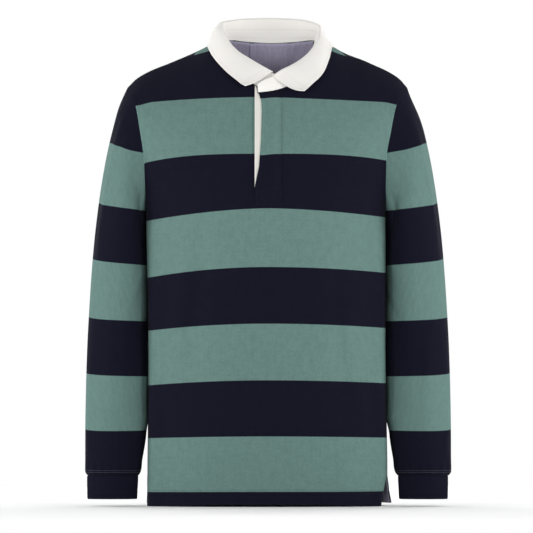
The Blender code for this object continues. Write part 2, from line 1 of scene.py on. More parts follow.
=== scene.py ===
"""Long-sleeve rugby shirt, filled out as if worn: the dressed model around its frame.

Lengths in the tables are millimetres. +Z is up, the front faces -Y, +X is the
wearer's left. Cloth places are u, from side to side, and t, up the cloth from the hem.
"""

import math

import bmesh
import bpy
import numpy as np
from mathutils import Matrix, Vector
from mathutils.kdtree import KDTree


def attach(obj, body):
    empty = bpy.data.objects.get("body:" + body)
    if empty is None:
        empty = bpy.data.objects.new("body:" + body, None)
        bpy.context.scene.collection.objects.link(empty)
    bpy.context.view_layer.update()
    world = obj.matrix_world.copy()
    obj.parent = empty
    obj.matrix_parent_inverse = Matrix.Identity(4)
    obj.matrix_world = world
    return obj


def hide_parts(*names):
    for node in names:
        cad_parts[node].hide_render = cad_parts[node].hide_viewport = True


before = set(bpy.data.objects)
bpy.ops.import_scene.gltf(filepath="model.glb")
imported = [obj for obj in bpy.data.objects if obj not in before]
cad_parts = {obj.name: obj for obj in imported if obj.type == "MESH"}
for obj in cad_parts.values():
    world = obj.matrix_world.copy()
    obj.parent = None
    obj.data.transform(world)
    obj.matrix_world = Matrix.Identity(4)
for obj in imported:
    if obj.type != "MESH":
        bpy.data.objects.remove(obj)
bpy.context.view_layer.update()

MM = 0.001
WALL = 1.6            # jersey wall
THIN = 1.0            # facing, lining and tape wall
CUFF_WALL = 2.2       # rib cuff, folded double
COLLAR_WALL = 1.8     # twill stand and leaf
SEAM = 0.3            # space left at every seam
LAP = 0.35            # space under a piece that lies on another

SIDE_X = 195.5        # half width of the body
UNDERARM_Z = -290.0
TIP_Z = -77.8         # shoulder point
ARM_MID = (UNDERARM_Z + TIP_Z) / 2
ARM_HALF = (TIP_Z - UNDERARM_Z) / 2
UNDERARM_S = 464.0    # cloth height of the underarm above the hem
GIRTH = 268.0         # cloth from centre to side seam at the underarm
TOP_S = 717.0         # cloth height given to the neck and shoulder row
NECK_U = 0.36         # share of the half panel's width taken by the neckline
NECK_X = 6.0          # the neck sits a little to the wearer's left
ARM_FRONT = 62.0      # depth of the armhole to the front
ARM_BACK = 70.0
PANEL_HALF = 262.0    # cloth from the middle of a panel to its side, over its folds
VENT_S = 48.0         # height of the side vents

FRONT, BACK = -1.0, 1.0

# body rows: s = cloth height above the hem, zc and zs = height at centre and side,
# yf and yb = depth at centre front and back, power = squareness of the section
BODY = (
    # s      zc      zs      yf      yb     power
    (0.0,   -754.0, -754.0, -117.0, 121.0, 2.40),
    (144.0, -610.0, -610.0, -122.0, 123.0, 2.40),
    (284.0, -470.0, -470.0, -127.0, 122.5, 2.40),
    (394.0, -360.0, -360.0, -131.0, 122.0, 2.35),
    (464.0, -290.0, -290.0, -131.0, 124.5, 2.30),
    (473.0, -281.0, -281.0, -130.6, 125.0, 2.29),
    (503.0, -251.0, -250.0, -128.0, 126.4, 2.25),
    (551.0, -207.0, -196.0, -119.0, 126.6, 2.18),
    (595.0, -165.0, -150.0, -105.5, 121.0, 2.12),
    (637.0, -124.0, -107.0, -87.5, 107.0, 2.05),
)

# half neckline from centre front to the shoulder seam, and from centre back
NECK_FRONT = (
    # x      y      z
    (0.0, -67.5, -84.0), (20.0, -65.0, -79.5), (33.0, -60.0, -70.5), (45.0, -53.0, -58.0),
    (57.0, -43.0, -41.0), (66.0, -29.0, -22.0), (70.5, -14.0, -7.0),
)
NECK_BACK = (
    # x      y      z
    (0.0, 52.5, -5.5), (26.0, 50.0, -4.8), (50.0, 40.5, -2.8), (66.0, 23.0, -1.6),
    (71.5, 4.0, -3.0), (70.5, -14.0, -7.0),
)
# shoulder seam, neck end to shoulder point; it lies just in front of the crest
SHOULDER = (
    # x      y      z
    (70.5, -14.0, -7.0), (98.0, -11.0, -18.5), (122.0, -4.0, -27.5), (160.0, -0.5, -39.0),
    (190.5, 0.0, -50.0), (215.5, 0.0, -65.0), (227.5, 0.0, -77.8),
)
# armhole seam as seen from the front: height against half width
ARMHOLE = (
    # z      x
    (-290.0, 195.5), (-278.0, 195.7), (-250.0, 196.0), (-196.0, 198.1),
    (-157.0, 203.8), (-131.0, 207.4), (-107.0, 212.8), (-92.0, 219.3), (-77.8, 227.5),
)

# sleeve rings: s along the sleeve, outer and inner edge in x and z, depth to the
# front and back, and how far the ring has swung forward
SLEEVE = (
    # s     xo     zo      xi     zi      front back  cy
    (45.0,  245.0, -120.0, 199.0, -303.0, 66.0, 72.0, 0.0),
    (110.0, 264.2, -198.0, 198.2, -326.0, 69.0, 72.0, 0.0),
    (180.0, 276.0, -272.0, 197.6, -358.0, 67.0, 68.0, -1.0),
    (260.0, 284.1, -345.0, 197.2, -404.0, 61.0, 62.0, -4.0),
    (350.0, 289.8, -425.0, 197.1, -463.0, 53.0, 53.0, -8.0),
    (440.0, 294.0, -505.0, 197.1, -527.0, 45.0, 45.0, -12.0),
    (520.0, 296.0, -575.0, 197.1, -587.0, 39.5, 39.0, -16.0),
    (580.0, 296.9, -635.0, 198.8, -639.0, 35.5, 34.5, -18.5),
    (628.0, 297.0, -680.0, 205.0, -681.0, 32.5, 31.5, -20.0),
    (646.0, 296.6, -697.0, 207.8, -697.5, 31.0, 30.0, -21.0),
    (652.0, 293.0, -702.0, 210.6, -702.0, 28.0, 27.0, -21.0),
)
CUFF = (
    # s    xo     zo      xi     zi      front back  cy
    (0.0,  292.2, -702.4, 210.8, -702.4, 27.6, 26.6, -21.0),
    (20.0, 292.0, -722.0, 211.8, -722.0, 27.0, 26.0, -21.5),
    (43.5, 291.6, -746.0, 213.0, -746.0, 26.6, 25.6, -22.0),
)

# collar rows, x measured from the neck's own centre: fold line, then the leaf's free
# edge, with w running from the wearer's right end round the back to the left end
COLLAR = (
    # w      fold x  y      z      edge x  y      z
    (-1.00,   1.5, -67.5, -52.5,  -43.0, -86.0, -75.0),
    (-0.95,  -8.0, -66.0, -47.5,  -50.5, -79.0, -71.2),
    (-0.88, -19.4, -62.0, -41.0,  -60.0, -72.0, -64.0),
    (-0.79, -35.5, -54.5, -31.3,  -73.0, -61.0, -53.5),
    (-0.68, -54.8, -42.0, -18.5,  -87.5, -42.0, -38.5),
    (-0.57, -70.0, -25.0,  -1.6,  -98.5, -22.0, -24.0),
    (-0.46, -79.0,  -7.0,  16.0, -103.0,   0.0, -14.5),
    (-0.36, -80.0,  11.0,  25.8,  -99.0,  24.0, -14.0),
    (-0.26, -70.0,  30.0,  29.0,  -82.0,  49.0, -15.0),
    (-0.14, -42.0,  49.0,  32.5,  -47.0,  69.0, -14.5),
    (0.00,    0.0,  55.5,  33.5,    0.0,  75.0, -13.5),
    (0.14,   42.0,  49.0,  32.3,   47.0,  69.0, -14.5),
    (0.26,   68.0,  30.0,  28.0,   80.0,  49.0, -15.0),
    (0.36,   78.0,  11.0,  21.5,   96.0,  24.0, -15.0),
    (0.46,   78.0,  -7.0,   9.0,   98.5,   0.0, -17.0),
    (0.57,   71.8, -22.0,  -4.0,   97.0, -22.0, -29.0),
    (0.68,   60.6, -37.0, -20.0,   90.5, -42.0, -46.0),
    (0.79,   43.0, -52.0, -35.0,   79.5, -61.0, -60.0),
    (0.88,   27.0, -62.0, -44.0,   68.0, -72.0, -70.5),
    (0.95,   14.0, -68.5, -50.5,   59.0, -79.0, -78.5),
    (1.00,    1.5, -74.5, -59.5,   52.6, -86.0, -83.4),
)
# stand rows: top and bottom edge; the wearer's left end laps over the right one
STAND = (
    # w      top x   y      z      foot x  y      z
    (-1.00,  12.0, -60.0, -58.0,   12.0, -61.2, -79.5),
    (-0.94,   0.0, -62.6, -55.0,    0.0, -64.2, -80.5),
    (-0.87, -18.0, -61.4, -45.5,  -19.0, -63.6, -78.0),
    (-0.79, -35.8, -55.2, -34.4,  -36.5, -57.8, -66.5),
    (-0.68, -55.2, -42.6, -21.5,  -53.5, -46.3, -45.5),
    (-0.57, -70.5, -25.5,  -4.6,  -64.5, -31.0, -24.5),
    (-0.46, -79.5,  -7.3,  13.2,  -70.0, -13.5,  -6.2),
    (-0.36, -80.6,  11.2,  23.2,  -71.2,   5.0,  -2.4),
    (-0.26, -70.5,  31.0,  26.6,  -64.0,  25.5,  -0.9),
    (-0.14, -42.6,  50.1,  30.3,  -40.0,  44.5,  -3.0),
    (0.00,    0.0,  56.6,  31.35,   0.0,  52.0,  -4.7),
    (0.14,   42.6,  50.1,  30.1,   40.0,  44.5,  -3.0),
    (0.26,   68.6,  31.0,  25.6,   64.0,  25.5,  -0.9),
    (0.36,   78.8,  11.2,  19.0,   71.2,   5.0,  -2.4),
    (0.46,   77.6,  -7.1,   5.2,   70.0, -13.5,  -6.2),
    (0.57,   71.4, -22.2,  -8.0,   64.5, -31.5, -24.0),
    (0.68,   61.0, -37.7, -23.0,   53.5, -48.0, -45.0),
    (0.79,   43.3, -52.8, -38.2,   36.0, -61.5, -67.5),
    (0.86,   25.0, -62.0, -48.5,   22.0, -69.0, -77.5),
    (0.92,   2.0,  -70.2, -60.5,    2.0, -72.6, -83.5),
    (0.97,  -16.0, -71.4, -68.0,  -16.0, -72.6, -86.0),
    (1.00,  -23.0, -71.2, -73.0,  -22.6, -72.2, -86.6),
)

# placket: left edge of the striped flap by height, and its plain sizes
FLAP_EDGE = (
    # z       x
    (-272.0, -21.6), (-238.6, -21.2), (-222.0, -17.6), (-207.0, -14.6), (-165.0, -11.6),
    (-118.0, -10.2), (-99.5, -11.2), (-84.0, -17.0),
)
FLAP_RIGHT = 22.7
FLAP_FOOT = -271.0
FACING_LEFT = -21.6
FACING_RIGHT = 4.0
FACING_FOOT = -240.0

LINING_DEPTH = 96.0   # half-moon inside the back neck
TAPE_WIDTH = 11.0     # woven tape inside the wearer's left vent


def slopes(s, p):
    """Slopes for a curve through the rows that never overshoots them."""
    h = np.diff(s)
    d = np.diff(p, axis=0) / h.reshape((-1,) + (1,) * (p.ndim - 1))
    m = np.zeros_like(p)
    m[0], m[-1] = d[0], d[-1]
    for k in range(1, len(s) - 1):
        w1, w2 = 2 * h[k] + h[k - 1], h[k] + 2 * h[k - 1]
        same = d[k - 1] * d[k] > 0
        a = np.where(same, d[k - 1], 1.0)
        b = np.where(same, d[k], 1.0)
        m[k] = np.where(same, (w1 + w2) / (w1 / a + w2 / b), 0.0)
    return m


def along(s, p, m, t):
    """Cubic through rows p at s with slopes m, one place t for each column."""
    k = np.clip(np.searchsorted(s, t, side="right") - 1, 0, len(s) - 2)
    n = np.arange(len(t))
    h = (s[k + 1] - s[k])
    x = ((t - s[k]) / h)[:, None]
    h = h[:, None]
    return ((2 * x**3 - 3 * x**2 + 1) * p[k, n] + (x**3 - 2 * x**2 + x) * h * m[k, n]
            + (3 * x**2 - 2 * x**3) * p[k + 1, n] + (x**3 - x**2) * h * m[k + 1, n])


def curve(s, p, f):
    """Places f on the smooth curve through rows p at s."""
    f = np.asarray(f, float).ravel()
    rows, m = (np.repeat(q[:, None, :], len(f), axis=1) for q in (p, slopes(s, p)))
    return along(s, rows, m, f)


def path(table, f):
    """Points at shares f of the length of a smooth curve through a table's rows."""
    p = np.array(table, float)
    s = np.r_[0.0, np.cumsum(np.linalg.norm(np.diff(p, axis=0), axis=1))]
    return curve(s, p, f * s[-1])


def table_curve(table, first, w):
    """Columns first to first+2 of a table whose column 0 is the place w."""
    a = np.array(table, float)
    return curve(a[:, 0], a[:, first:first + 3], w)


def armhole_edge(z, side):
    """Half width and depth of the armhole seam at a height."""
    x = np.interp(z, [r[0] for r in ARMHOLE], [r[1] for r in ARMHOLE])
    depth = ARM_FRONT if side == FRONT else ARM_BACK
    return x, side * depth * math.sqrt(max(0.0, 1 - ((z - ARM_MID) / ARM_HALF) ** 2))


def row_points(row, side, a):
    """One body row: quarter of a soft rectangle, evenly spaced in cloth length."""
    s, zc, zs, yf, yb, power = row
    yc = yf if side == FRONT else yb
    xs, ys = (SIDE_X, 0.0) if zs <= UNDERARM_Z else armhole_edge(zs, side)
    g = 2.0 / power
    e = math.acos(max(0.0, ys / yc) ** (1 / g))
    phi = np.linspace(0, e, 121)
    x = xs * (np.sin(phi) / math.sin(e)) ** g
    fall = (1 - np.clip(np.cos(phi), 0, 1) ** g) / (1 - max(0.0, math.cos(e)) ** g)
    y = yc + (ys - yc) * fall
    d = np.r_[0.0, np.cumsum(np.hypot(np.diff(x), np.diff(y)))]
    cut = GIRTH - d[-1] if zs > UNDERARM_Z else 0.0
    place = a * (d[-1] + cut) - cut * a ** np.clip(0.7 * GIRTH / max(cut, 1.0), 1.0, 8.0)
    return np.stack([np.interp(place, d, x), np.interp(place, d, y), zc + (zs - zc) * a * a],
                    axis=1)


def top_points(side, a):
    """Neckline and shoulder seam as the last row of a panel."""
    neck = NECK_FRONT if side == FRONT else NECK_BACK
    f = np.clip(a / NECK_U, 0, 1)
    g = np.clip((a - NECK_U) / (1 - NECK_U), 0, 1)
    return np.where((a < NECK_U)[:, None], path(neck, f), path(SHOULDER, g))


def panel(side, u, t):
    """Outer face of the front or back: u from side to side, t up the cloth."""
    u, t = np.broadcast_arrays(np.asarray(u, float), np.asarray(t, float))
    shape = u.shape
    u, t = u.ravel(), t.ravel()
    a, sign = np.abs(u), np.where(u < 0, -1.0, 1.0)
    rows = [row_points(r, side, a) for r in BODY] + [top_points(side, a)]
    p = np.array(rows)
    p[:, :, 0] *= sign
    p[-1, :, 0] += NECK_X * np.clip((1 - a) / (1 - NECK_U), 0, 1)
    s = np.array([r[0] for r in BODY] + [TOP_S])
    m = slopes(s, p)
    if side == FRONT:
        m[-1, :, 1] *= 1.15
        m[-1, :, 2] *= 0.72
    else:
        m[-1, :, 1] *= 1.25
        m[-1, :, 2] *= np.interp(a, [0, 0.2, 0.3, NECK_U, 0.42, 0.48, 0.56, 0.64, 0.74, 1.0],
                                 [0.75, 0.55, 0.1, -0.35, -1.0, -1.0, -0.65, -0.3, 0.0, 0.3])
    q = along(s, p, m, t)
    low = np.clip((VENT_S - t) / VENT_S, 0, 1) ** 1.2
    rim = np.clip((a - 0.82) / 0.18, 0, 1) ** 2
    big = np.where(u > 0, 1.0, 0.45)
    if side == FRONT:
        q[:, 0] -= sign * 6.0 * low * rim * big
        q[:, 1] -= 2.0 * low * rim
    else:
        rim = np.clip((a - 0.90) / 0.10, 0, 1) ** 2
        q[:, 0] += sign * 5.0 * low * rim * big
        q[:, 1] += 1.0 * low * rim
    return q.reshape(shape + (3,))


def unit(v):
    return v / np.maximum(np.linalg.norm(v, axis=-1, keepdims=True), 1e-9)


def face_dir(f, a, b, ha, hb, a_lim, b_lim, way):
    """Outward unit normal of a surface f(a, b)."""
    a, b = np.broadcast_arrays(np.asarray(a, float), np.asarray(b, float))
    a0, a1 = np.clip(a - ha, *a_lim), np.clip(a + ha, *a_lim)
    b0, b1 = np.clip(b - hb, *b_lim), np.clip(b + hb, *b_lim)
    return unit(np.cross(f(a1, b) - f(a0, b), f(a, b1) - f(a, b0)) * way)


def panel_dir(side, u, t):
    return face_dir(lambda a, b: panel(side, a, b), u, t, 0.012, 3.0, (-1, 1), (0, TOP_S), -side)


def seam_ring(theta):
    """Armhole seam of the wearer's left side: angle 0 at the shoulder, 90 in front."""
    t = np.r_[np.linspace(UNDERARM_S, 475, 60), np.linspace(475.5, TOP_S, 160)]
    out = np.zeros(theta.shape + (3,))
    for side in (FRONT, BACK):
        e = panel(side, np.ones_like(t), t)
        ang = np.arccos(np.clip((e[:, 2] - ARM_MID) / ARM_HALF, -1, 1))[::-1]
        e = e[::-1]
        a = np.where(theta > math.pi, 2 * math.pi - theta, theta)
        got = np.stack([np.interp(a, ang, e[:, k]) for k in range(3)], axis=-1)
        use = (theta <= math.pi) if side == FRONT else (theta > math.pi)
        out[use] = got[use]
    return out


def ring(row, theta):
    """One sleeve or cuff ring from its table row."""
    s, xo, zo, xi, zi, front, back, cy = row
    c, w = np.cos(theta), np.sin(theta)
    y = cy - np.where(w > 0, front, back) * w
    return np.stack([(xo + xi) / 2 + (xo - xi) / 2 * c, y, (zo + zi) / 2 + (zo - zi) / 2 * c],
                    axis=-1)


def through_rings(first, table, theta, t):
    """Face of a tube through a table's rings, after any first ring."""
    theta, t = np.broadcast_arrays(np.asarray(theta, float), np.asarray(t, float))
    flat = theta.ravel()
    p = np.array([f(flat) for f in first] + [ring(r, flat) for r in table])
    s = np.array([0.0] * len(first) + [r[0] for r in table])
    return along(s, p, slopes(s, p), t.ravel()).reshape(theta.shape + (3,))


def sleeve(theta, t):
    """Outer face of the wearer's left sleeve."""
    return through_rings([seam_ring], SLEEVE, theta, t)


def cuff(theta, t):
    return through_rings([], CUFF, theta, t)


SLEEVE_END = SLEEVE[-1][0]


def sleeve_dir(theta, t):
    return face_dir(lambda a, b: sleeve(np.mod(a, 2 * math.pi), b), theta, t, 0.03, 2.0,
                    (-9, 9), (0, SLEEVE_END), 1.0)


def armhole_dir(theta):
    return sleeve_dir(theta, np.zeros_like(theta))


def theta_of_edge(side, t):
    """Sleeve angle that meets a panel's armhole edge at cloth height t."""
    e = panel(side, np.ones_like(t), t)
    a = np.arccos(np.clip((e[..., 2] - ARM_MID) / ARM_HALF, -1, 1))
    return a if side == FRONT else 2 * math.pi - a


def on_rows(points, us, ts, u, t):
    """Place on a built grid of points, so that a piece laid on it follows its faces."""
    i = np.clip(np.searchsorted(us, u, side="right") - 1, 0, len(us) - 2)
    j = np.clip(np.searchsorted(ts, t, side="right") - 1, 0, len(ts) - 2)
    a = ((u - us[i]) / (us[i + 1] - us[i]))[..., None]
    b = ((t - ts[j]) / (ts[j + 1] - ts[j]))[..., None]
    return ((1 - a) * (1 - b) * points[j, i] + a * (1 - b) * points[j, i + 1]
            + (1 - a) * b * points[j + 1, i] + a * b * points[j + 1, i + 1])


def place_at(x, z, top):
    """Panel place (u, t) on the front whose points have the wanted x and z."""
    t = np.interp(z, [r[1] for r in BODY] + [top], [r[0] for r in BODY] + [TOP_S])
    u = x / 250.0
    for _ in range(25):
        p = panel(FRONT, u, t)
        u = np.clip(u + (x - p[..., 0]) / 260.0, -0.95, 0.95)
        t = np.clip(t + (z - p[..., 2]) * 0.8, 0, TOP_S)
    return u, t


# where the stripes change, as seen from the front: v counts the changes up from the hem,
# then z at the centre, and how far and how late the line drops towards each side
STRIPE_LINES = (
    # v    z centre  drop, power at right arm  drop, power at left arm  extra dip at the armholes
    (0.0, -732.7,  1.2, 2.0,  0.0, 2.0, 0.0),
    (1.0, -643.1,  3.6, 2.0,  2.8, 2.0, 0.0),
    (2.0, -552.4,  8.4, 2.0,  5.2, 2.0, 0.0),
    (3.0, -460.9, 11.4, 2.0,  7.4, 2.0, 0.0),
    (4.0, -369.4, 16.6, 2.0,  9.4, 2.0, 0.0),
    (5.0, -274.6, 19.0, 1.7, 14.4, 1.7, 0.0),
    (6.0, -186.3, 12.4, 3.2, 10.4, 3.2, 0.0),
    (7.0,  -94.2,  8.0, 2.0,  8.0, 1.1, 3.4),
)
SLEEVE_LINES = (
    # v    z at the outer edge  z at the inner edge
    (0.0, -632.4, -634.6),
    (1.0, -541.3, -547.0),
    (2.0, -450.4, -457.5),
    (3.0, -356.0, -367.0),
    (4.0, -265.4, -278.6),
    (5.0, -168.3, -203.4),
)
SLEEVE_LINE_BOW = 2.2   # how far the lines dip towards the front of the sleeve
STRIPE = 91.5         # one stripe, past the last line of a table

# soft ridges (+) and troughs (-) seen from the front or back
FRONT_FOLDS = (
    # x0     z0      x1      z1     bow   width  height
    (-128.0, -262.0, -176.0, -640.0, 7.0, 15.0, 3.4),
    (-104.0, -280.0, -132.0, -560.0, 5.0, 17.0, -2.6),
    (122.0, -392.0, 172.0, -690.0, -6.0, 13.0, 3.0),
    (110.0, -330.0, 128.0, -600.0, -3.0, 15.0, -2.2),
    (150.0, -240.0, 170.0, -420.0, 4.0, 14.0, 1.8),
    (-60.0, -420.0, -84.0, -730.0, 8.0, 24.0, 1.4),
    (34.0, -470.0, 58.0, -745.0, -8.0, 26.0, 1.2),
    (-20.0, -300.0, -6.0, -560.0, 5.0, 30.0, -0.9),
    (-176.0, -200.0, -150.0, -330.0, -5.0, 10.0, -1.6),
    (178.0, -196.0, 158.0, -312.0, 4.0, 9.0, -1.4),
    (-88.0, -60.0, -150.0, -150.0, 7.0, 17.0, 1.3),
    (96.0, -64.0, 152.0, -168.0, -6.0, 18.0, 1.2),
    (-168.0, -640.0, -120.0, -750.0, 5.0, 12.0, -1.5),
    (150.0, -620.0, 124.0, -748.0, -5.0, 13.0, 1.3),
)
BACK_FOLDS = (
    # x0     z0      x1      z1     bow   width  height
    (130.0, -240.0, 168.0, -610.0, -7.0, 16.0, 3.2),
    (104.0, -290.0, 122.0, -520.0, -4.0, 17.0, -2.4),
    (-136.0, -300.0, -170.0, -700.0, 6.0, 15.0, 3.1),
    (-108.0, -250.0, -130.0, -560.0, 4.0, 16.0, -2.2),
    (-46.0, -330.0, -62.0, -730.0, 9.0, 26.0, 1.7),
    (40.0, -420.0, 52.0, -748.0, -7.0, 24.0, 1.5),
    (-90.0, -70.0, -160.0, -190.0, 8.0, 16.0, 1.5),
    (84.0, -60.0, 166.0, -176.0, -9.0, 17.0, 1.6),
    (6.0, -60.0, -8.0, -300.0, 5.0, 28.0, 1.1),
    (176.0, -210.0, 150.0, -330.0, 4.0, 10.0, -1.6),
)
# sleeve folds by place round the sleeve in degrees (0 outside, 90 in front) and along it
LEFT_SLEEVE_FOLDS = (
    # deg0    s0     deg1    s1    bow   width  height
    (122.0, 4.0, 143.0, 110.0, 3.0, 5.0, -2.4),
    (148.0, 30.0, 146.0, 330.0, -2.0, 5.0, -1.7),
    (149.0, 300.0, 150.0, 560.0, 2.0, 5.0, -1.4),
    (30.0, 30.0, 33.0, 210.0, 3.0, 4.0, -1.1),
    (112.0, 20.0, 116.0, 300.0, 3.0, 10.0, 1.6),
    (110.0, 260.0, 104.0, 560.0, -3.0, 11.0, 1.5),
    (52.0, 20.0, 34.0, 250.0, 3.0, 9.0, 2.2),
    (18.0, 80.0, 12.0, 330.0, -3.0, 9.0, -1.6),
    (96.0, 150.0, 72.0, 390.0, 4.0, 12.0, -1.4),
    (60.0, 330.0, 78.0, 600.0, -4.0, 13.0, 1.9),
    (120.0, 40.0, 150.0, 130.0, 3.0, 8.0, -2.0),
    (176.0, 120.0, 118.0, 300.0, 6.0, 9.0, 1.7),
    (184.0, 250.0, 128.0, 360.0, 5.0, 8.0, -1.8),
    (26.0, 470.0, 40.0, 640.0, 3.0, 8.0, 1.2),
    (232.0, 60.0, 214.0, 300.0, 4.0, 11.0, 2.0),
    (300.0, 100.0, 286.0, 420.0, -5.0, 13.0, 1.8),
    (258.0, 330.0, 240.0, 600.0, 4.0, 12.0, -1.6),
    (206.0, 220.0, 250.0, 330.0, 4.0, 8.0, -1.7),
)
RIGHT_SLEEVE_FOLDS = (
    # deg0    s0     deg1    s1    bow   width  height
    (124.0, 2.0, 144.0, 120.0, 2.0, 5.0, -2.5),
    (150.0, 20.0, 147.0, 300.0, 2.0, 5.0, -1.6),
    (147.0, 280.0, 150.0, 580.0, -2.0, 5.0, -1.5),
    (31.0, 20.0, 34.0, 200.0, 2.0, 4.0, -1.2),
    (110.0, 40.0, 114.0, 330.0, -3.0, 11.0, 1.5),
    (108.0, 300.0, 106.0, 580.0, 3.0, 11.0, 1.6),
    (48.0, 10.0, 38.0, 280.0, 4.0, 9.0, 2.4),
    (16.0, 60.0, 14.0, 300.0, -2.0, 8.0, -1.5),
    (88.0, 210.0, 66.0, 430.0, 5.0, 13.0, -1.3),
    (66.0, 300.0, 84.0, 560.0, -3.0, 12.0, 1.7),
    (128.0, 60.0, 158.0, 170.0, 4.0, 8.0, -1.8),
    (172.0, 170.0, 112.0, 330.0, 6.0, 9.0, 1.9),
    (188.0, 300.0, 134.0, 410.0, 4.0, 8.0, -1.6),
    (34.0, 440.0, 28.0, 630.0, 3.0, 9.0, 1.4),
    (226.0, 90.0, 220.0, 340.0, 4.0, 12.0, 1.8),
    (296.0, 70.0, 282.0, 380.0, -4.0, 12.0, 1.7),
    (262.0, 360.0, 246.0, 610.0, 5.0, 13.0, -1.5),
)

JERSEY_GREEN = (0.117, 0.197, 0.180)
JERSEY_NAVY = (0.0066, 0.0066, 0.0150)
TWILL_WHITE = (0.765, 0.745, 0.715)
# placket facing: a cream tint, made darker than the collar twill as painted shade from the flap
# over it
FACING_SHADED_WHITE = (0.75, 0.73, 0.68)
# chambray warp and weft: the cloth's blue-grey, made far paler as painted light for the shade
# inside the neck; the vent tape shares it
LIT_CHAMBRAY_WARP = (0.345, 0.312, 0.455)
LIT_CHAMBRAY_WEFT = (0.580, 0.535, 0.690)


# cloth made as grids

def fold_field(x, y, rows):
    """Soft ridges and troughs that run from one place to another and fade at both ends."""
    total = np.zeros(np.broadcast(x, y).shape)
    for x0, y0, x1, y1, bow, width, height in rows:
        dx, dy = x1 - x0, y1 - y0
        span = math.hypot(dx, dy)
        s = ((x - x0) * dx + (y - y0) * dy) / span**2
        inside = np.clip(s, 0, 1)
        across = ((x - x0) * dy - (y - y0) * dx) / span + bow * 4 * inside * (1 - inside)
        past = np.maximum(np.abs(2 * s - 1) - 1, 0) * span
        fade = (4 * inside * (1 - inside)) ** 0.8 * np.exp(-(past / 20.0) ** 2)
        total += height * fade * np.exp(-(across / width) ** 2)
    return total


def ease(d, near, far):
    """0 nearer than near, 1 past far, smooth between."""
    f = np.clip((d - near) / (far - near), 0, 1)
    return f * f * (3 - 2 * f)


def changes_below(lines, z):
    """Stripe changes below height z, whole and part, for lines from the lowest up."""
    v = (z - lines[0]) / STRIPE
    for k in range(len(lines) - 1):
        v = np.where(z >= lines[k], k + (z - lines[k]) / (lines[k + 1] - lines[k]), v)
    return np.where(z > lines[-1], len(lines) - 1 + (z - lines[-1]) / STRIPE, v)


def stripe_count(x, z):
    """How many stripe changes lie below a place of the front or back."""
    lines = []
    far = np.clip(np.abs(x) / 190.0, 0, 1.15)
    for v, zc, right, right_power, left, left_power, dip in STRIPE_LINES:
        drop = np.where(x < 0, right * far**right_power, left * far**left_power)
        lines.append(zc - drop - dip * ease(far, 0.98, 1.12))
    return changes_below(np.array(lines), z)


def sleeve_stripe_count(theta, z):
    f = (1 + np.cos(theta)) / 2
    dip = SLEEVE_LINE_BOW * np.sin(math.pi * np.sqrt(np.clip(1 - f, 0, 1)))
    lines = np.array([zi + (zo - zi) * f - dip * (1.0 if v < 5 else -0.7)
                      for v, zo, zi in SLEEVE_LINES])
    return np.clip(changes_below(lines, z), -0.95, 5.95)


def finished(name, bm, finish):
    """A bmesh made into a smooth named object of the shirt."""
    mesh = bpy.data.meshes.new(name)
    bm.to_mesh(mesh)
    bm.free()
    mesh.polygons.foreach_set("use_smooth", [True] * len(mesh.polygons))
    mesh.materials.append(finish)
    ob = bpy.data.objects.new(name, mesh)
    bpy.context.scene.collection.objects.link(ob)
    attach(ob, "root")
    return ob, mesh


def cloth(cad_node, outer, inner, finish, band=None, lay=None, wrap=False):
    """A closed cloth wall: a grid laid on the outer points and extruded to the inner ones."""
    rows, cols = outer.shape[:2]
    bm = bmesh.new()
    bmesh.ops.create_grid(bm, x_segments=cols - 1, y_segments=rows - 1, size=1.0)
    col = bm.verts.layers.int.new("col")
    row = bm.verts.layers.int.new("row")
    for v in bm.verts:
        v[col] = round((v.co.x + 1) / 2 * (cols - 1))
        v[row] = round((v.co.y + 1) / 2 * (rows - 1))
    for v in bm.verts:
        v.co = outer[v[row], v[col]] * MM
    if wrap:
        bmesh.ops.remove_doubles(bm, verts=bm.verts, dist=0.00001)
    got = bmesh.ops.extrude_face_region(bm, geom=bm.faces[:], use_keep_orig=True)
    for v in got["geom"]:
        if isinstance(v, bmesh.types.BMVert):
            v.co = inner[v[row], v[col]] * MM
    bmesh.ops.recalc_face_normals(bm, faces=bm.faces)
    ob, mesh = finished(f"shirt_{cad_node}", bm, finish)
    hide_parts(cad_node)
    at_col = np.zeros(len(mesh.vertices), np.int32)
    at_row = np.zeros(len(mesh.vertices), np.int32)
    mesh.attributes["col"].data.foreach_get("value", at_col)
    mesh.attributes["row"].data.foreach_get("value", at_row)
    if band is not None:
        layer = mesh.attributes.new("band", "FLOAT", "POINT")
        layer.data.foreach_set("value", band[at_row, at_col].astype(np.float32))
    lay = laid_out(outer) if lay is None else lay
    corner = np.zeros(len(mesh.loops), np.int32)
    mesh.loops.foreach_get("vertex_index", corner)
    c, r = at_col[corner].reshape(-1, 4), at_row[corner].reshape(-1, 4)
    over = (c.max(1) - c.min(1) > cols // 2)[:, None] & (c == 0)
    c = np.where(wrap & over, cols - 1, c)
    uv = mesh.uv_layers.new(name="cloth")
    uv.data.foreach_set("uv", (lay[r, c] * MM).astype(np.float32).ravel())
    mesh.attributes.remove(mesh.attributes["col"])
    mesh.attributes.remove(mesh.attributes["row"])
    mesh.set_sharp_from_angle(angle=math.radians(50))
    return ob


def laid_out(points):
    """Cloth lengths across and along a grid of points, for weave that follows the cloth."""
    across = np.linalg.norm(np.diff(points, axis=1), axis=2)
    along_it = np.linalg.norm(np.diff(points, axis=0), axis=2)
    x = np.concatenate([np.zeros((len(points), 1)), np.cumsum(across, axis=1)], axis=1)
    x -= x[:, x.shape[1] // 2][:, None]
    y = np.concatenate([np.zeros((1, points.shape[1])), np.cumsum(along_it, axis=0)], axis=0)
    return np.stack([x, y], axis=-1)


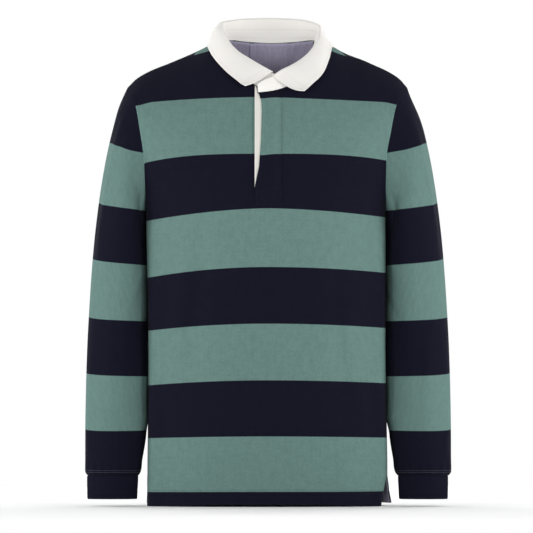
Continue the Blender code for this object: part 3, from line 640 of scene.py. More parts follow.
def stitches(name, runs, finish, length=2.7, gap=0.8, thick=0.5, bands=None):
    """A row of thread stitches along each run of points and outward directions."""
    bm = bmesh.new()
    spots = []
    for points, out in runs:
        d = np.r_[0.0, np.cumsum(np.linalg.norm(np.diff(points, axis=0), axis=1))]

        def at(values, places):
            return np.stack([np.interp(places, d, values[:, k]) for k in range(3)], axis=1)

        n = max(2, int(d[-1] / (length + gap)))
        mids = (np.arange(n) + 0.5) * d[-1] / n
        p = at(points, mids)
        o = unit(at(out, mids))
        run = unit(at(points, mids + 1.0) - at(points, mids - 1.0))
        side = unit(np.cross(o, run))
        for k in range(n):
            turn = Matrix((Vector(run[k]) * length / 2, Vector(side[k]) * thick / 2,
                           Vector(o[k]) * thick * 0.4)).transposed().to_4x4()
            place = Matrix.Translation(Vector((p[k] + o[k] * thick * 0.1) * MM))
            bmesh.ops.create_icosphere(bm, subdivisions=1, radius=MM, matrix=place @ turn)
            spots.append(p[k])
    ob, mesh = finished(name, bm, finish)
    if bands is not None:
        counts = np.repeat(bands(np.array(spots)), len(mesh.vertices) // len(spots))
        layer = mesh.attributes.new("band", "FLOAT", "POINT")
        layer.data.foreach_set("value", counts.astype(np.float32))
    return ob


# finishes

def new_finish(name, rough, sheen=0.0, sheen_rough=0.5, specular=0.3):
    mat = bpy.data.materials.new(name)
    mat.use_nodes = True
    tree = mat.node_tree
    shader = tree.nodes["Principled BSDF"]
    shader.inputs["Roughness"].default_value = rough
    shader.inputs["Specular IOR Level"].default_value = specular
    shader.inputs["Sheen Weight"].default_value = sheen
    shader.inputs["Sheen Roughness"].default_value = sheen_rough
    return mat, tree, shader


def node(tree, kind, *links, **values):
    """Add a node; values set its settings or sockets, links join (socket, source)."""
    made = tree.nodes.new(kind)
    for key, value in values.items():
        if hasattr(made, key):
            setattr(made, key, value)
        else:
            made.inputs[key.replace("_", " ")].default_value = value
    for place, source in links:
        tree.links.new(source, made.inputs[place])
    return made


def maths(tree, operation, a, b=0.0, clamp=False):
    made = tree.nodes.new("ShaderNodeMath")
    made.operation = operation
    made.use_clamp = clamp
    for k, value in enumerate((a, b)):
        if isinstance(value, (int, float)):
            made.inputs[k].default_value = value
        else:
            tree.links.new(value, made.inputs[k])
    return made.outputs[0]


def mix_colours(tree, share, a, b, blend="MIX"):
    made = tree.nodes.new("ShaderNodeMix")
    made.data_type = "RGBA"
    made.blend_type = blend
    for socket, value in ((made.inputs[0], share), (made.inputs[6], a), (made.inputs[7], b)):
        if isinstance(value, tuple):
            socket.default_value = (*value, 1.0)
        elif isinstance(value, (int, float)):
            socket.default_value = value
        else:
            tree.links.new(value, socket)
    return made.outputs[2]


def cloth_place(tree):
    return node(tree, "ShaderNodeUVMap", uv_map="cloth").outputs[0]


def stretched(tree, scale):
    """The cloth's own map in metres, stretched across, along and through it."""
    made = node(tree, "ShaderNodeMapping", ("Vector", cloth_place(tree)))
    made.inputs["Scale"].default_value = scale
    return made.outputs[0]


def threads_noise(tree, scale, detail, rough=0.5):
    return node(tree, "ShaderNodeTexNoise", ("Vector", stretched(tree, scale)),
                Scale=1.0, Detail=detail, Roughness=rough).outputs["Fac"]


def weighted(tree, *parts):
    """Sum of (output, weight) pairs."""
    total = 0.0
    for value, weight in parts:
        total = maths(tree, "ADD", maths(tree, "MULTIPLY", value, weight), total)
    return total


def sharpened(tree, value, slope, start):
    """value times slope plus start, held between 0 and 1."""
    made = maths(tree, "MULTIPLY_ADD", value, slope, clamp=True)
    made.node.inputs[2].default_value = start
    return made


def green_share(tree):
    """1 on the green stripes and 0 on the navy ones, from the stripe count of each place."""
    band = node(tree, "ShaderNodeAttribute", attribute_name="band").outputs["Fac"]
    wave = maths(tree, "SINE", maths(tree, "MULTIPLY", band, math.pi))
    return sharpened(tree, wave, 55.0, 0.5)


def with_bump(tree, shader, height, strength, distance):
    bump = node(tree, "ShaderNodeBump", ("Height", height), Strength=strength, Distance=distance)
    tree.links.new(bump.outputs[0], shader.inputs["Normal"])


def striped_jersey():
    """Washed cotton jersey in two colours, its shade cloudy, flecked and streaked."""
    mat, tree, shader = new_finish("striped_cotton_jersey", 0.95, 0.02, 0.4, 0.06)
    cloudy = threads_noise(tree, (95, 72, 1), 4.0, 0.62)
    flecks = threads_noise(tree, (420, 260, 1), 2.0, 0.7)
    streaks = threads_noise(tree, (210, 28, 1), 3.0, 0.6)
    rows = threads_noise(tree, (30, 240, 1), 3.0, 0.6)
    worn = weighted(tree, (cloudy, 0.34), (flecks, 0.38), (streaks, 0.15), (rows, 0.13))
    worn = maths(tree, "ADD", worn, 0.50)
    base = mix_colours(tree, green_share(tree), JERSEY_NAVY, JERSEY_GREEN)
    shade = node(tree, "ShaderNodeCombineColor", ("Red", worn), ("Green", worn), ("Blue", worn))
    tint = mix_colours(tree, 1.0, base, shade.outputs[0], "MULTIPLY")
    tree.links.new(tint, shader.inputs["Base Color"])
    wales = node(tree, "ShaderNodeTexWave", ("Vector", stretched(tree, (1, 0.02, 1))),
                 Scale=260.0, Distortion=0.6, Detail=1.0)
    courses = node(tree, "ShaderNodeTexWave", ("Vector", stretched(tree, (0.02, 1, 1))),
                   bands_direction="Y", Scale=330.0, Distortion=0.5, Detail=1.0)
    knit = weighted(tree, (wales.outputs["Fac"], 1.0), (courses.outputs["Fac"], 0.5),
                    (cloudy, 1.2))
    with_bump(tree, shader, knit, 0.35, 0.00035)
    return mat


def plain_cloth(name, dark, light, scale, rough, bump_mm, cloud=0.10, sheen=0.04, specular=0.12):
    """Twill, rib or thread in two close shades, on the cloth's own map."""
    mat, tree, shader = new_finish(name, rough, sheen, 0.5, specular)
    threads = threads_noise(tree, scale, 3.0, 0.65)
    soft = threads_noise(tree, (45, 45, 1), 3.0)
    share = sharpened(tree, weighted(tree, (threads, 1.0 - cloud), (soft, cloud)), 2.2, -0.6)
    tree.links.new(mix_colours(tree, share, dark, light), shader.inputs["Base Color"])
    with_bump(tree, shader, threads, 0.4, bump_mm * MM)
    return mat


def darker(colour, share):
    return tuple(c * share for c in colour)


def tonal_highlight_thread():
    """Thread that is pale green on the green stripes and navy on the navy ones, both lighter than
    the jersey: part thread colour, part a painted highlight along the armhole seams.
    """
    mat, tree, shader = new_finish("tonal_highlight_thread", 0.8, 0.02, 0.5, 0.1)
    colour = mix_colours(tree, green_share(tree), darker(JERSEY_NAVY, 1.5),
                         darker(JERSEY_GREEN, 2.1))
    tree.links.new(colour, shader.inputs["Base Color"])
    return mat


def chambray_weave():
    """Blue-grey chambray: fine threads with long pale and dark slubs down the cloth, its colours
    made far paler than the cloth as painted light for the shaded inside of the neck.
    """
    mat, tree, shader = new_finish("blue_chambray_painted_light", 0.9, 0.04, 0.5, 0.12)
    fine = threads_noise(tree, (1900, 160, 1), 2.0, 0.6)
    slubs = threads_noise(tree, (520, 34, 1), 3.0, 0.7)
    weft = threads_noise(tree, (40, 640, 1), 2.0, 0.6)
    share = weighted(tree, (fine, 0.30), (slubs, 0.50), (weft, 0.20))
    share = sharpened(tree, share, 3.6, -1.3)
    tree.links.new(mix_colours(tree, share, LIT_CHAMBRAY_WARP, LIT_CHAMBRAY_WEFT),
                   shader.inputs["Base Color"])
    with_bump(tree, shader, slubs, 0.4, 0.00015)
    return mat


jersey = striped_jersey()
rib = plain_cloth("navy_rib_knit", darker(JERSEY_NAVY, 0.85), darker(JERSEY_NAVY, 1.3),
                  (900, 300, 1), 0.95, 0.15, sheen=0.02, specular=0.06)
TWILL_THREADS, THREAD_PLY = (1500, 420, 1), (900, 900, 1)
twill = plain_cloth("off_white_twill", darker(TWILL_WHITE, 0.97), TWILL_WHITE,
                    TWILL_THREADS, 0.85, 0.08)
# the stand's twill is the collar's made brighter: painted light for the inside of the neck, where
# the stand lies in shade
stand_lit_twill = plain_cloth("off_white_stand_painted_light", darker(TWILL_WHITE, 1.07),
                          darker(TWILL_WHITE, 1.10), TWILL_THREADS, 0.85, 0.08)
chambray = chambray_weave()
# the facing's twill: cream, darker than the collar's, the darkening painted shade from the flap
# lying over it
facing_shaded_twill = plain_cloth("cream_facing_painted_shade", darker(FACING_SHADED_WHITE, 0.95), FACING_SHADED_WHITE,
                           TWILL_THREADS, 0.9, 0.08)
navy_thread = plain_cloth("navy_thread", JERSEY_NAVY, darker(JERSEY_NAVY, 1.6),
                          THREAD_PLY, 0.6, 0.05)
stitch_white = plain_cloth("collar_thread", darker(TWILL_WHITE, 0.78),
                           darker(TWILL_WHITE, 0.86), THREAD_PLY, 0.8, 0.05)
seam_highlight_thread = tonal_highlight_thread()
grey_thread = plain_cloth("grey_thread", (0.07, 0.07, 0.085), (0.10, 0.10, 0.12),
                          THREAD_PLY, 0.6, 0.05)


# front and back

def spaced(least, most, n, ends):
    """n places from least to most, closer together near both ends."""
    f = np.linspace(-1, 1, n)
    g = f * (1 - ends) + np.sin(f * math.pi / 2) * ends
    return least + (most - least) * (g + 1) / 2


SLIT_U = -0.0905       # beside the placket facing, where the front dips into the slit
SLIT_WIDE = 0.012      # strip of finer columns on each side of it
PANEL_U = np.sort(np.r_[spaced(-1.0, 1.0, 151, 0.5),
                        SLIT_U + np.linspace(-SLIT_WIDE, SLIT_WIDE, 9)])
PANEL_T = np.r_[0.0, 1.5, np.arange(4.0, VENT_S, 4.0), VENT_S,
                np.linspace(VENT_S, UNDERARM_S, 112)[1:],
                np.linspace(UNDERARM_S, TOP_S, 92)[1:]]


CREASE_HALF = 260.0   # half panel, for creases and puckers beside the seams


def panel_folds(side, p, u, t):
    """Creases of a body panel in millimetres out of the cloth, none at its seams."""
    rows = FRONT_FOLDS if side == FRONT else BACK_FOLDS
    from_arm = (1 - np.abs(u)) * CREASE_HALF
    edge = ease(from_arm, 2.0, 26.0)
    head = ease(TOP_S - t, 2.0, 30.0)
    out = fold_field(p[..., 0], p[..., 2], rows) * edge * head
    x, z = p[..., 0], p[..., 2]
    slow = np.sin(x / 37.0 + z / 88.0) * np.sin(z / 61.0 - x / 143.0)
    out += 0.35 * slow * edge * head
    arm = ease(t, UNDERARM_S - 10, UNDERARM_S + 30)
    ripple = np.sin(z / 5.1 + 2.0 * np.sin(z / 23.0))
    out += arm * 0.28 * ripple * np.exp(-((from_arm - 9.0) / 7.0) ** 2)
    turned = ease(from_arm, 0.2, 1.4) - ease(from_arm, 7.6, 9.4)
    out += arm * 0.45 * turned * (TOP_S - t > 3)
    if side == FRONT:
        slit = ease(z, -246.0, -232.0) * (1 - ease(z, -96.0, -88.0))
        out -= 1.3 * slit * np.exp(-((u - SLIT_U) / 0.0035) ** 2)
    out -= 0.35 * np.exp(-((t - 20.0) / 1.6) ** 2)
    puckers = np.sin(u * CREASE_HALF / 4.3 + 1.5 * np.sin(u * 19.0))
    return out + 0.22 * puckers * np.exp(-((t - 17.0) / 6.0) ** 2)


# how far the sides of the body stand across from the plain form, by height: at the right arm
# and at the left arm, wearer's left positive
SIDE_SHIFT = (
    # z       right  left
    (-800.0, -0.5, -2.0),
    (-690.0, -0.5, -1.8),
    (-640.0, 0.2, -2.6),
    (-500.0, 0.8, -5.2),
    (-400.0, -0.2, -4.8),
    (-290.0, -3.0, -5.0),
    (-180.0, -2.6, -7.0),
    (-110.0, -2.2, -5.0),
    (-78.0, -0.8, -1.6),
    (0.0, 0.0, 0.0),
)
SQUARE_DEEP, SQUARE_WIDE = 17.0, 1.3   # how far the sides fill out, front to back and across
# how the shoulders stand higher: place across, half width, height
SHOULDER_LIFTS = ((-130.0, 34.0, 3.2), (150.0, 24.0, 2.7))
HEM_MIDDLE, HEM_SIDE_DROP, HEM_BACK = 0.4, 3.2, 1.6   # lift that levels the hem as seen
# how far the corners at the vents stand out past the side seams, at the left and right arm
VENT_FRONT = (-9.2, 2.0)
VENT_BACK = (1.8, -1.0)
VENT_TURN = 8.0       # how far the back's left corner turns to show its taped inside


def side_shift(z, left):
    """Shift across of the body's edge at height z; left is 1 at the left arm, 0 at the right."""
    zs, right_shift, left_shift = np.array(SIDE_SHIFT).T
    return np.interp(z, zs, right_shift) * (1 - left) + np.interp(z, zs, left_shift) * left


def shaped(side, p, u, t):
    """The body as worn: firmer sides, higher shoulders and a level hem."""
    a = np.abs(u)
    p = p.copy()
    square = ease(a, 0.66, 0.87) * (1 - ease(a, 0.87, 1.0)) * (1 - ease(t, 430.0, 520.0))
    p[..., 1] += side * SQUARE_DEEP * square
    p[..., 0] += SQUARE_WIDE * square * np.sign(u)
    p[..., 0] += side_shift(p[..., 2], (u > 0) * 1.0) * ease(a, 0.3, 1.0)
    high = sum(rise * np.exp(-((p[..., 0] - x) / wide) ** 2) for x, wide, rise in SHOULDER_LIFTS)
    p[..., 2] += high * ease(t, TOP_S - 80.0, TOP_S - 6.0)
    front_level = HEM_MIDDLE - HEM_SIDE_DROP * ease(a, 0.28, 0.72)
    level = front_level if side == FRONT else HEM_BACK + 0 * a
    p[..., 2] += level * (1 - ease(t, 2.0, 44.0))
    return p


def panel_cloth(side, us, ts):
    """Outer and inner points of a body panel, mitred where it meets its neighbours."""
    u, t = np.meshgrid(us, ts)
    p = shaped(side, panel(side, u, t), u, t)
    n = panel_dir(side, u, t)
    other = panel_dir(-side, u, t)
    out = panel_folds(side, p, u, t)
    under = unit(armhole_dir(np.array([math.pi]))[0] + np.array([1.0, 0, 0]))
    for c in (0, len(us) - 1):
        turn = np.array([np.sign(us[c]), 1.0, 1.0])
        low = ts <= UNDERARM_S
        p[low, c, 1] += side * SEAM / 2
        seamed = low & (ts >= VENT_S)
        n[seamed, c] = unit(n[seamed, c] + other[seamed, c])
        n[ts == UNDERARM_S, c] = under * turn
        arm = (ts > UNDERARM_S) & (ts < TOP_S)
        theta = theta_of_edge(side, ts[arm])
        n[arm, c] = unit(n[arm, c] + armhole_dir(theta) * turn)
    up = unit(p[-1] - p[-2])
    seamed = np.abs(us) >= NECK_U
    n[-1, seamed] = unit(n[-1, seamed] + other[-1, seamed])
    p[-1, seamed] -= up[seamed] * SEAM / 2
    low = np.clip((VENT_S - t) / VENT_S, 0, 1) ** 0.8 * ease(np.abs(u), 0.55, 1.0)
    left_vent, right_vent = VENT_FRONT if side == FRONT else VENT_BACK
    p[..., 0] += low * np.where(u > 0, left_vent, -right_vent)
    if side == BACK:
        inward = (1 - u) * PANEL_HALF
        turned = low * ease(inward, 0.0, 13.0) * (1 - ease(inward, 36.0, 90.0)) * (u > 0)
        p[..., 0] -= VENT_TURN * turned
    p = p + n * out[..., None]
    return p, p - n * WALL


def cloth_height(p):
    """Height of each place if its column hung straight up from the hem."""
    step = np.linalg.norm(np.diff(p, axis=0)[..., 1:], axis=2)
    return p[0, :, 2] + np.concatenate([np.zeros((1, p.shape[1])), np.cumsum(step, axis=0)])


front_out, front_in = panel_cloth(FRONT, PANEL_U, PANEL_T)
back_out, back_in = panel_cloth(BACK, PANEL_U, PANEL_T)
front_band = stripe_count(front_out[..., 0], front_out[..., 2])
# the back's stripes keep their distance along the cloth over its slope, taken near the sides
# from the last column well inside
well_in = np.where(np.abs(PANEL_U) < 0.86)[0]
column = np.clip(np.arange(len(PANEL_U)), well_in[0], well_in[-1])
back_slope = (cloth_height(back_out) - back_out[..., 2])[:, column]
back_band = stripe_count(back_out[..., 0], back_out[..., 2] + back_slope)
back_band -= (0.35 * ease(np.abs(back_out[..., 0]), 98.0, 124.0)
              * ease(back_band, 7.25, 7.75))
front = cloth("front", front_out, front_in, jersey, front_band)
back = cloth("back", back_out, back_in, jersey, back_band)

# sleeves and cuffs

SLEEVE_THETA = np.linspace(0, 2 * math.pi, 145)
SLEEVE_T = np.r_[0.0, 2.0, np.linspace(5, 604, 190), np.linspace(607, SLEEVE_END, 18)]
DEGREE = 0.9
REST_IN = 0.5         # how far a sleeve presses into the side of the body


def sleeve_folds(rows, theta, t, seed):
    """Creases of a sleeve, with each degree round it taken as DEGREE millimetres."""
    deg = np.degrees(theta)
    out = np.zeros_like(t)
    table = [(deg0 * DEGREE, s0, deg1 * DEGREE, *rest) for deg0, s0, deg1, *rest in rows]
    for turn in (-360.0, 0.0, 360.0):
        out += fold_field((deg + turn) * DEGREE, t, table)
    out *= ease(t, 3.0, 40.0) * ease(SLEEVE_END - t, 2.0, 30.0)
    gathers = np.sin(theta * 17 + seed + 1.4 * np.sin(theta * 3 + seed))
    out += 0.7 * gathers * np.exp(-((SLEEVE_END - t - 9.0) / 10.0) ** 2)
    seam = 0.22 * np.sin(theta * 44 + 2 * np.sin(theta * 5)) * np.exp(-((t - 6.0) / 5.0) ** 2)
    return out + seam


def sleeve_cloth(side, rows, seed):
    """Outer and inner points of a sleeve against the body, and its stripe places."""
    th, st = np.meshgrid(SLEEVE_THETA, SLEEVE_T)
    first = SLEEVE_THETA
    speed = np.linalg.norm(sleeve(first, 0 * first + 1.0) - sleeve(first, 0 * first), axis=1)
    st[0] = (SEAM + 0.5 * np.exp(-((first - math.pi) / 0.5) ** 2)) / np.maximum(speed, 0.05)
    p = sleeve(th, st)
    n = sleeve_dir(th, st)
    seam_n = np.zeros_like(n[0])
    for half, use in ((FRONT, first <= math.pi), (BACK, first > math.pi)):
        ts = np.linspace(UNDERARM_S, TOP_S, 200)
        ang = theta_of_edge(half, ts)
        d = panel_dir(half, np.ones_like(ts), ts)
        order = np.argsort(ang)
        for k in range(3):
            seam_n[use, k] = np.interp(first[use], ang[order], d[order, k])
    n[0] = unit(n[0] + seam_n)
    n[:, -1], p[:, -1] = n[:, 0], p[:, 0]
    left = (side > 0) * 1.0
    p[..., 0] += side * side_shift(p[..., 2], left) * (1 - ease(SLEEVE_T, 0.0, 70.0))[:, None]
    inmost = p[:, len(first) // 2]
    side_t = np.linspace(0, UNDERARM_S, 120)
    edge = panel(FRONT, np.ones_like(side_t), side_t)
    edge[:, 0] += side * side_shift(edge[:, 2], left)
    body_x = np.interp(inmost[:, 2], edge[:, 2], edge[:, 0])
    close = np.maximum(inmost[:, 0] - body_x + REST_IN, 0) * ease(inmost[:, 2], -642.0, -604.0)
    above_cuff = (1 - ease(inmost[:, 2], -625.0, -590.0)) * ease(inmost[:, 2], -706.0, -690.0)
    close += (1.2 + 1.0 * left) * above_cuff
    close *= ease(SLEEVE_T, 2.0, 12.0)
    p[..., 0] -= close[:, None] * (0.5 - 0.5 * np.cos(th)) ** 3
    p[..., 2] -= 5.4 * ease(SLEEVE_T, 628.0, SLEEVE_END)[:, None]
    out = sleeve_folds(rows, th, SLEEVE_T[:, None] + 0 * th, seed)
    out[:, -1] = out[:, 0]
    p = p + n * out[..., None]
    turn = np.array([side, 1.0, 1.0])
    return p * turn, (p - n * WALL) * turn, sleeve_stripe_count(th, p[..., 2])


def cuff_cloth(side, ribs):
    """Rib cuff: fine upright ribs, a folded edge at the wrist."""
    theta = np.linspace(0, 2 * math.pi, ribs * 6 + 1)
    t = np.r_[0.0, 0.8, 2.0, 4.2, 5.6, 7.0, np.linspace(9, 40, 7), 42.0, 43.1, 43.5]
    th, st = np.meshgrid(theta, t)
    p = cuff(th, st)
    middle = p.mean(axis=1, keepdims=True)
    flat = unit((p - middle) * np.array([1 / 40.0**2, 1 / 27.0**2, 0.0]))
    rib_out = 0.30 * np.cos(th * ribs) * ease(st, 0.5, 3.0) * ease(43.5 - st, 0.3, 2.0)
    rib_out -= 0.5 * (1 - ease(43.5 - st, 0.0, 1.6)) + 0.5 * (1 - ease(st, 0.0, 1.8))
    rib_out += 0.5 * np.sin(th * 2 + 0.6) * ease(st, 2.0, 14.0)
    rib_out += (0.5 - side) * 0.9 * (0.5 + 0.5 * np.cos(th)) ** 2 * ease(st, 4.0, 7.0)
    rib_out -= 1.9 * (1 - ease(st, 3.8, 6.2))
    p = p + flat * rib_out[..., None]
    inner = p - flat * (CUFF_WALL + np.maximum(rib_out, -0.6)[..., None] * 0.9)
    p[:, -1], inner[:, -1] = p[:, 0], inner[:, 0]
    turn = np.array([side, 1.0, 1.0])
    return p * turn, inner * turn


sleeves, sleeve_pieces, cuff_pieces = {}, {}, {}
for word, side, rows, seed in (("left", 1.0, LEFT_SLEEVE_FOLDS, 0.4),
                               ("right", -1.0, RIGHT_SLEEVE_FOLDS, 2.3)):
    outer, inner, bands = sleeve_cloth(side, rows, seed)
    sleeves[word] = (outer, inner)
    sleeve_pieces[word] = cloth(f"sleeve_{word}", outer, inner, jersey, bands,
                                wrap=True)
    outer, inner = cuff_cloth(side, 84)
    cuff_pieces[word] = cloth(f"cuff_{word}", outer, inner, rib, wrap=True)

# collar

NECK_SHIFT = np.array([NECK_X, 0.0, 0.0])
LEAF_CLEAR = 4.2      # the leaf's outer face above the body's plain form
NECK_RISE = 3.0       # the collar above its table at the back of the neck
LEAF_DRAWN_IN = 3.6   # the leaf's left side, towards the neck
# share of the way down the leaf, and how far it stands out there
LEAF_LIFTS = ((0.08, 3.9), (0.30, 5.2), (0.55, 4.0), (0.80, 1.8))


def neck_rise(w):
    """The collar stands a little higher at the back of the neck."""
    return NECK_RISE * ease(w, -0.65, -0.35) * (1 - ease(w, 0.0, 0.40))


def stand_cloth():
    w = np.linspace(-1, 1, 201)
    foot = table_curve(STAND, 4, w) + NECK_SHIFT
    neckline = np.concatenate([panel(s, np.linspace(-NECK_U, NECK_U, 240), TOP_S)
                               for s in (FRONT, BACK)])
    for k in np.where(np.abs(w) < 0.82)[0]:
        near = int(np.argmin(((neckline - foot[k])[:, :2] ** 2).sum(1)))
        foot[k, 2] = max(foot[k, 2], neckline[near, 2] + 0.5)
        foot[k, 2] += 0.8 * math.exp(-((w[k] + 0.78) / 0.05) ** 2)
    head = table_curve(STAND, 1, w) + NECK_SHIFT
    head[:, 2] += neck_rise(w)
    v = np.linspace(0, 1, 24)[:, None, None]
    p = foot[None] * (1 - v) + head[None] * v
    n = unit(np.cross(np.gradient(p, axis=0), np.gradient(p, axis=1)))
    p = p + n * 1.2 * np.sin(math.pi * v)
    return p, p - n * COLLAR_WALL


upper_u, upper_t = np.meshgrid(np.linspace(-1, 1, 161), np.linspace(540, TOP_S, 90))
upper = np.concatenate([panel(s, upper_u, upper_t).reshape(-1, 3) for s in (FRONT, BACK)])
upper_dir = np.concatenate([panel_dir(s, upper_u, upper_t).reshape(-1, 3)
                            for s in (FRONT, BACK)])


def clear_of_body(p, least):
    """Move points out until they stand clear of the body panels."""
    q = p.copy()
    for k in range(len(q)):
        j = int(np.argmin(((upper - q[k]) ** 2).sum(1)))
        short = least - float(np.dot(q[k] - upper[j], upper_dir[j]))
        if short > 0:
            q[k] = q[k] + upper_dir[j] * short
    return q


def leaf_cloth():
    """The turned-down leaf: fuller at the right of the neck, drawn in at the left."""
    w = np.linspace(-1, 1, 241)
    fold = table_curve(COLLAR, 1, w) + NECK_SHIFT
    fold[:, 2] += neck_rise(w)
    edge = clear_of_body(table_curve(COLLAR, 4, w) + NECK_SHIFT, LEAF_CLEAR)
    away = unit((edge - fold) * np.array([1.0, 1.0, 0.0]))
    up = np.array([0.0, 0.0, 1.0])
    leaf = [fold, fold + away * 2.0 + up * 0.1]
    near_end = np.exp(-((1 - np.abs(w)) / 0.07) ** 2)[:, None]
    full = 1 + 0.45 * np.exp(-((w + 0.42) / 0.14) ** 2)
    full -= 0.7 * np.exp(-((w - 0.42) / 0.14) ** 2)
    full = (full - 0.85 * near_end[:, 0])[:, None]
    drop = np.where(w < 0, 3.0, 6.5)[:, None] * near_end
    for f, lift in LEAF_LIFTS:
        lift = lift * full
        mid = fold * (1 - f) + edge * f + away * lift + up * (0.25 * lift - 4 * f * (1 - f) * drop)
        leaf.append(clear_of_body(mid, LEAF_CLEAR))
    leaf.append(edge)
    for row in leaf[3:]:
        row[:, 0] -= LEAF_DRAWN_IN * ease(row[:, 0], 84.0, 104.0)
    rows = np.array(leaf)
    at = np.array([0.0, 0.04, 0.10, 0.30, 0.55, 0.80, 1.0])
    v = np.r_[np.linspace(0, 0.10, 7), np.linspace(0.10, 1.0, 30)[1:]]
    m = slopes(at, rows)
    p = np.array([along(at, rows, m, np.full(len(w), f)) for f in v])
    n = unit(np.cross(np.gradient(p, axis=1), np.gradient(p, axis=0)))
    soft = (1 - ease(v, 0.0, 0.10))[:, None, None]
    n = unit(n * (1 - soft) + unit(up + away * 0.5) * soft)
    return p, p - n * COLLAR_WALL


stand_out, stand_in = stand_cloth()
leaf_out, leaf_in = leaf_cloth()
stand = cloth("collar_stand", stand_out, stand_in, stand_lit_twill)
leaf = cloth("collar_leaf", leaf_out, leaf_in, twill)

# placket


def on_front(x, z, out):
    u, t = place_at(x, z, NECK_FRONT[0][2])
    p = on_rows(front_out, PANEL_U, PANEL_T, u, t)
    return p + unit(p - on_rows(front_in, PANEL_U, PANEL_T, u, t)) * out


def flap_head(x):
    return np.interp(x, [-21.6, -10.0, 8.0, 22.7], [-90.0, -89.0, -87.2, -83.8])


def facing_head(x):
    return np.interp(x, [-21.6, -18.6, -17.8, 4.0], [-77.0, -78.0, -89.5, -88.0])


def placket_places(left, right, foot, head, cols, rows):
    f, g = np.meshgrid(np.linspace(0, 1, cols), np.linspace(0, 1, rows))
    xl = left(foot + (-88.0 - foot) * g)
    x = xl * (1 - f) + right * f
    return x, foot + (head(x) - foot) * g, f


x, z, f = placket_places(lambda z: np.full_like(z, FACING_LEFT), FACING_RIGHT, FACING_FOOT,
                         facing_head, 24, 90)
FACING_UNDER = LAP + 0.25
facing_high = FACING_UNDER + THIN + 0.5 * np.exp(-((f - 0.06) / 0.05) ** 2)
facing_out = on_front(x, z, facing_high[..., None])
facing = cloth("placket_facing", facing_out, on_front(x, z, FACING_UNDER), facing_shaded_twill)


def flap_edge(z):
    return np.interp(z, [r[0] for r in FLAP_EDGE], [r[1] for r in FLAP_EDGE])


x, z, f = placket_places(flap_edge, FLAP_RIGHT, FLAP_FOOT, flap_head, 40, 120)
under_flap = LAP * 2 + 0.25 + THIN
sewn = np.maximum(ease(x, 8.0, 20.0), 1 - ease(z, -262.0, -244.0))
rolled = np.exp(-((x - flap_edge(z)) / 4.0) ** 2) * ease(z, -250.0, -200.0)
low_side = under_flap * (1 - sewn) + 0.2 * sewn
high_side = (under_flap + WALL) * (1 - sewn) + 0.85 * sewn + 0.9 * rolled
high_side -= 0.3 * np.exp(-((x - FLAP_RIGHT + 1.8) / 0.7) ** 2)
high_side -= 0.3 * np.exp(-((np.abs(z + 255.5) - 14.5) / 0.8) ** 2) * (x < FLAP_RIGHT - 1)
puckers = np.sin(z / 5.2 + x / 7.0) * np.exp(-((z + 254.0) / 15.0) ** 2)
high_side += 0.6 * puckers * (1 - ease(x, 4.0, 20.0))
high_side -= 0.9 * np.exp(-((z + 240.0 - 0.05 * x) / 1.6) ** 2) * (1 - ease(x, 0.0, 14.0))
low_side += 0.5 * rolled
flap_out = on_front(x, z, high_side[..., None])
flap_in = on_front(x, z, low_side[..., None])
flap_drop = 0.4 + 2.0 * (1 - ease(x, -12.0, 14.0))   # its stripes lie lower than the front's
flap = cloth("placket_flap", flap_out, flap_in, jersey,
             stripe_count(flap_out[..., 0], flap_out[..., 2] + flap_drop))


def on_flap(x, z):
    """Places on the flap's face and the way out of it."""
    near = ((flap_out[..., 0].ravel()[None] - x[:, None]) ** 2
            + (flap_out[..., 2].ravel()[None] - z[:, None]) ** 2).argmin(1)
    points, under = flap_out.reshape(-1, 3)[near], flap_in.reshape(-1, 3)[near]
    points = np.stack([x, points[:, 1], z], axis=1)
    return points, unit(points - under)


# neck lining and vent tape

# pressed pleats of the lining: place across, top and bottom height, how deep
LINING_PLEATS = (
    (-29.8, -2.0, -38.0, 2.8),
    (33.2, -8.0, -48.0, 2.4),
    (59.6, -6.0, -40.0, 1.9),
    (-58.0, -2.0, -30.0, 1.0),
    (4.0, -12.0, -60.0, 0.9),
)
f = np.linspace(-1, 1, 241)[None, :]
g = np.linspace(0, 1, 60)[:, None]
u = f * NECK_U * 0.93 * np.sqrt(1 - (0.96 * g) ** 2)
t = TOP_S - 0.3 - g * (LINING_DEPTH + 2.2) + 0 * f
inside = on_rows(back_in, PANEL_U, PANEL_T, u, t)
off = 0.5 + 1.5 * np.abs(f) ** 2.5 + 0 * g
off += 0.3 * np.sin(inside[..., 0] / 9.0 + 1.3 * np.sin(inside[..., 2] / 21.0))
for place, top, foot, deep in LINING_PLEATS:
    x = inside[..., 0] - place - 0.04 * (inside[..., 2] - top)
    long = ease(inside[..., 2], foot, foot + 18.0) * (1 - ease(inside[..., 2], top, top + 14.0))
    off += deep * long * ease(x, -0.7, 0.7) * np.exp(-np.maximum(x, 0) / 7.0)
off = np.maximum(off, 0.3)[..., None]
toward = unit(inside - on_rows(back_out, PANEL_U, PANEL_T, u, t))
lining_out = inside + toward * (off + THIN)
lining_in = inside + toward * off
for rows in (lining_out, lining_in):
    rows[0, :, 2] += 1.6
lining = cloth("neck_lining", lining_in, lining_out, chambray,
               lay=laid_out(inside))
f = np.linspace(0, 1, 6)[None, :]
t = np.linspace(1.0, VENT_S - 1.0, 16)[:, None] + 0 * f
u = (1 - 0.004) - (1 - f) * TAPE_WIDTH / PANEL_HALF + 0 * t
inside = on_rows(back_in, PANEL_U, PANEL_T, u, t)
toward = unit(inside - on_rows(back_out, PANEL_U, PANEL_T, u, t))
TAPE_OFF = 0.6        # space under the tape
tape = cloth("vent_tape", inside + toward * TAPE_OFF, inside + toward * (TAPE_OFF + THIN),
             chambray, lay=laid_out(inside))

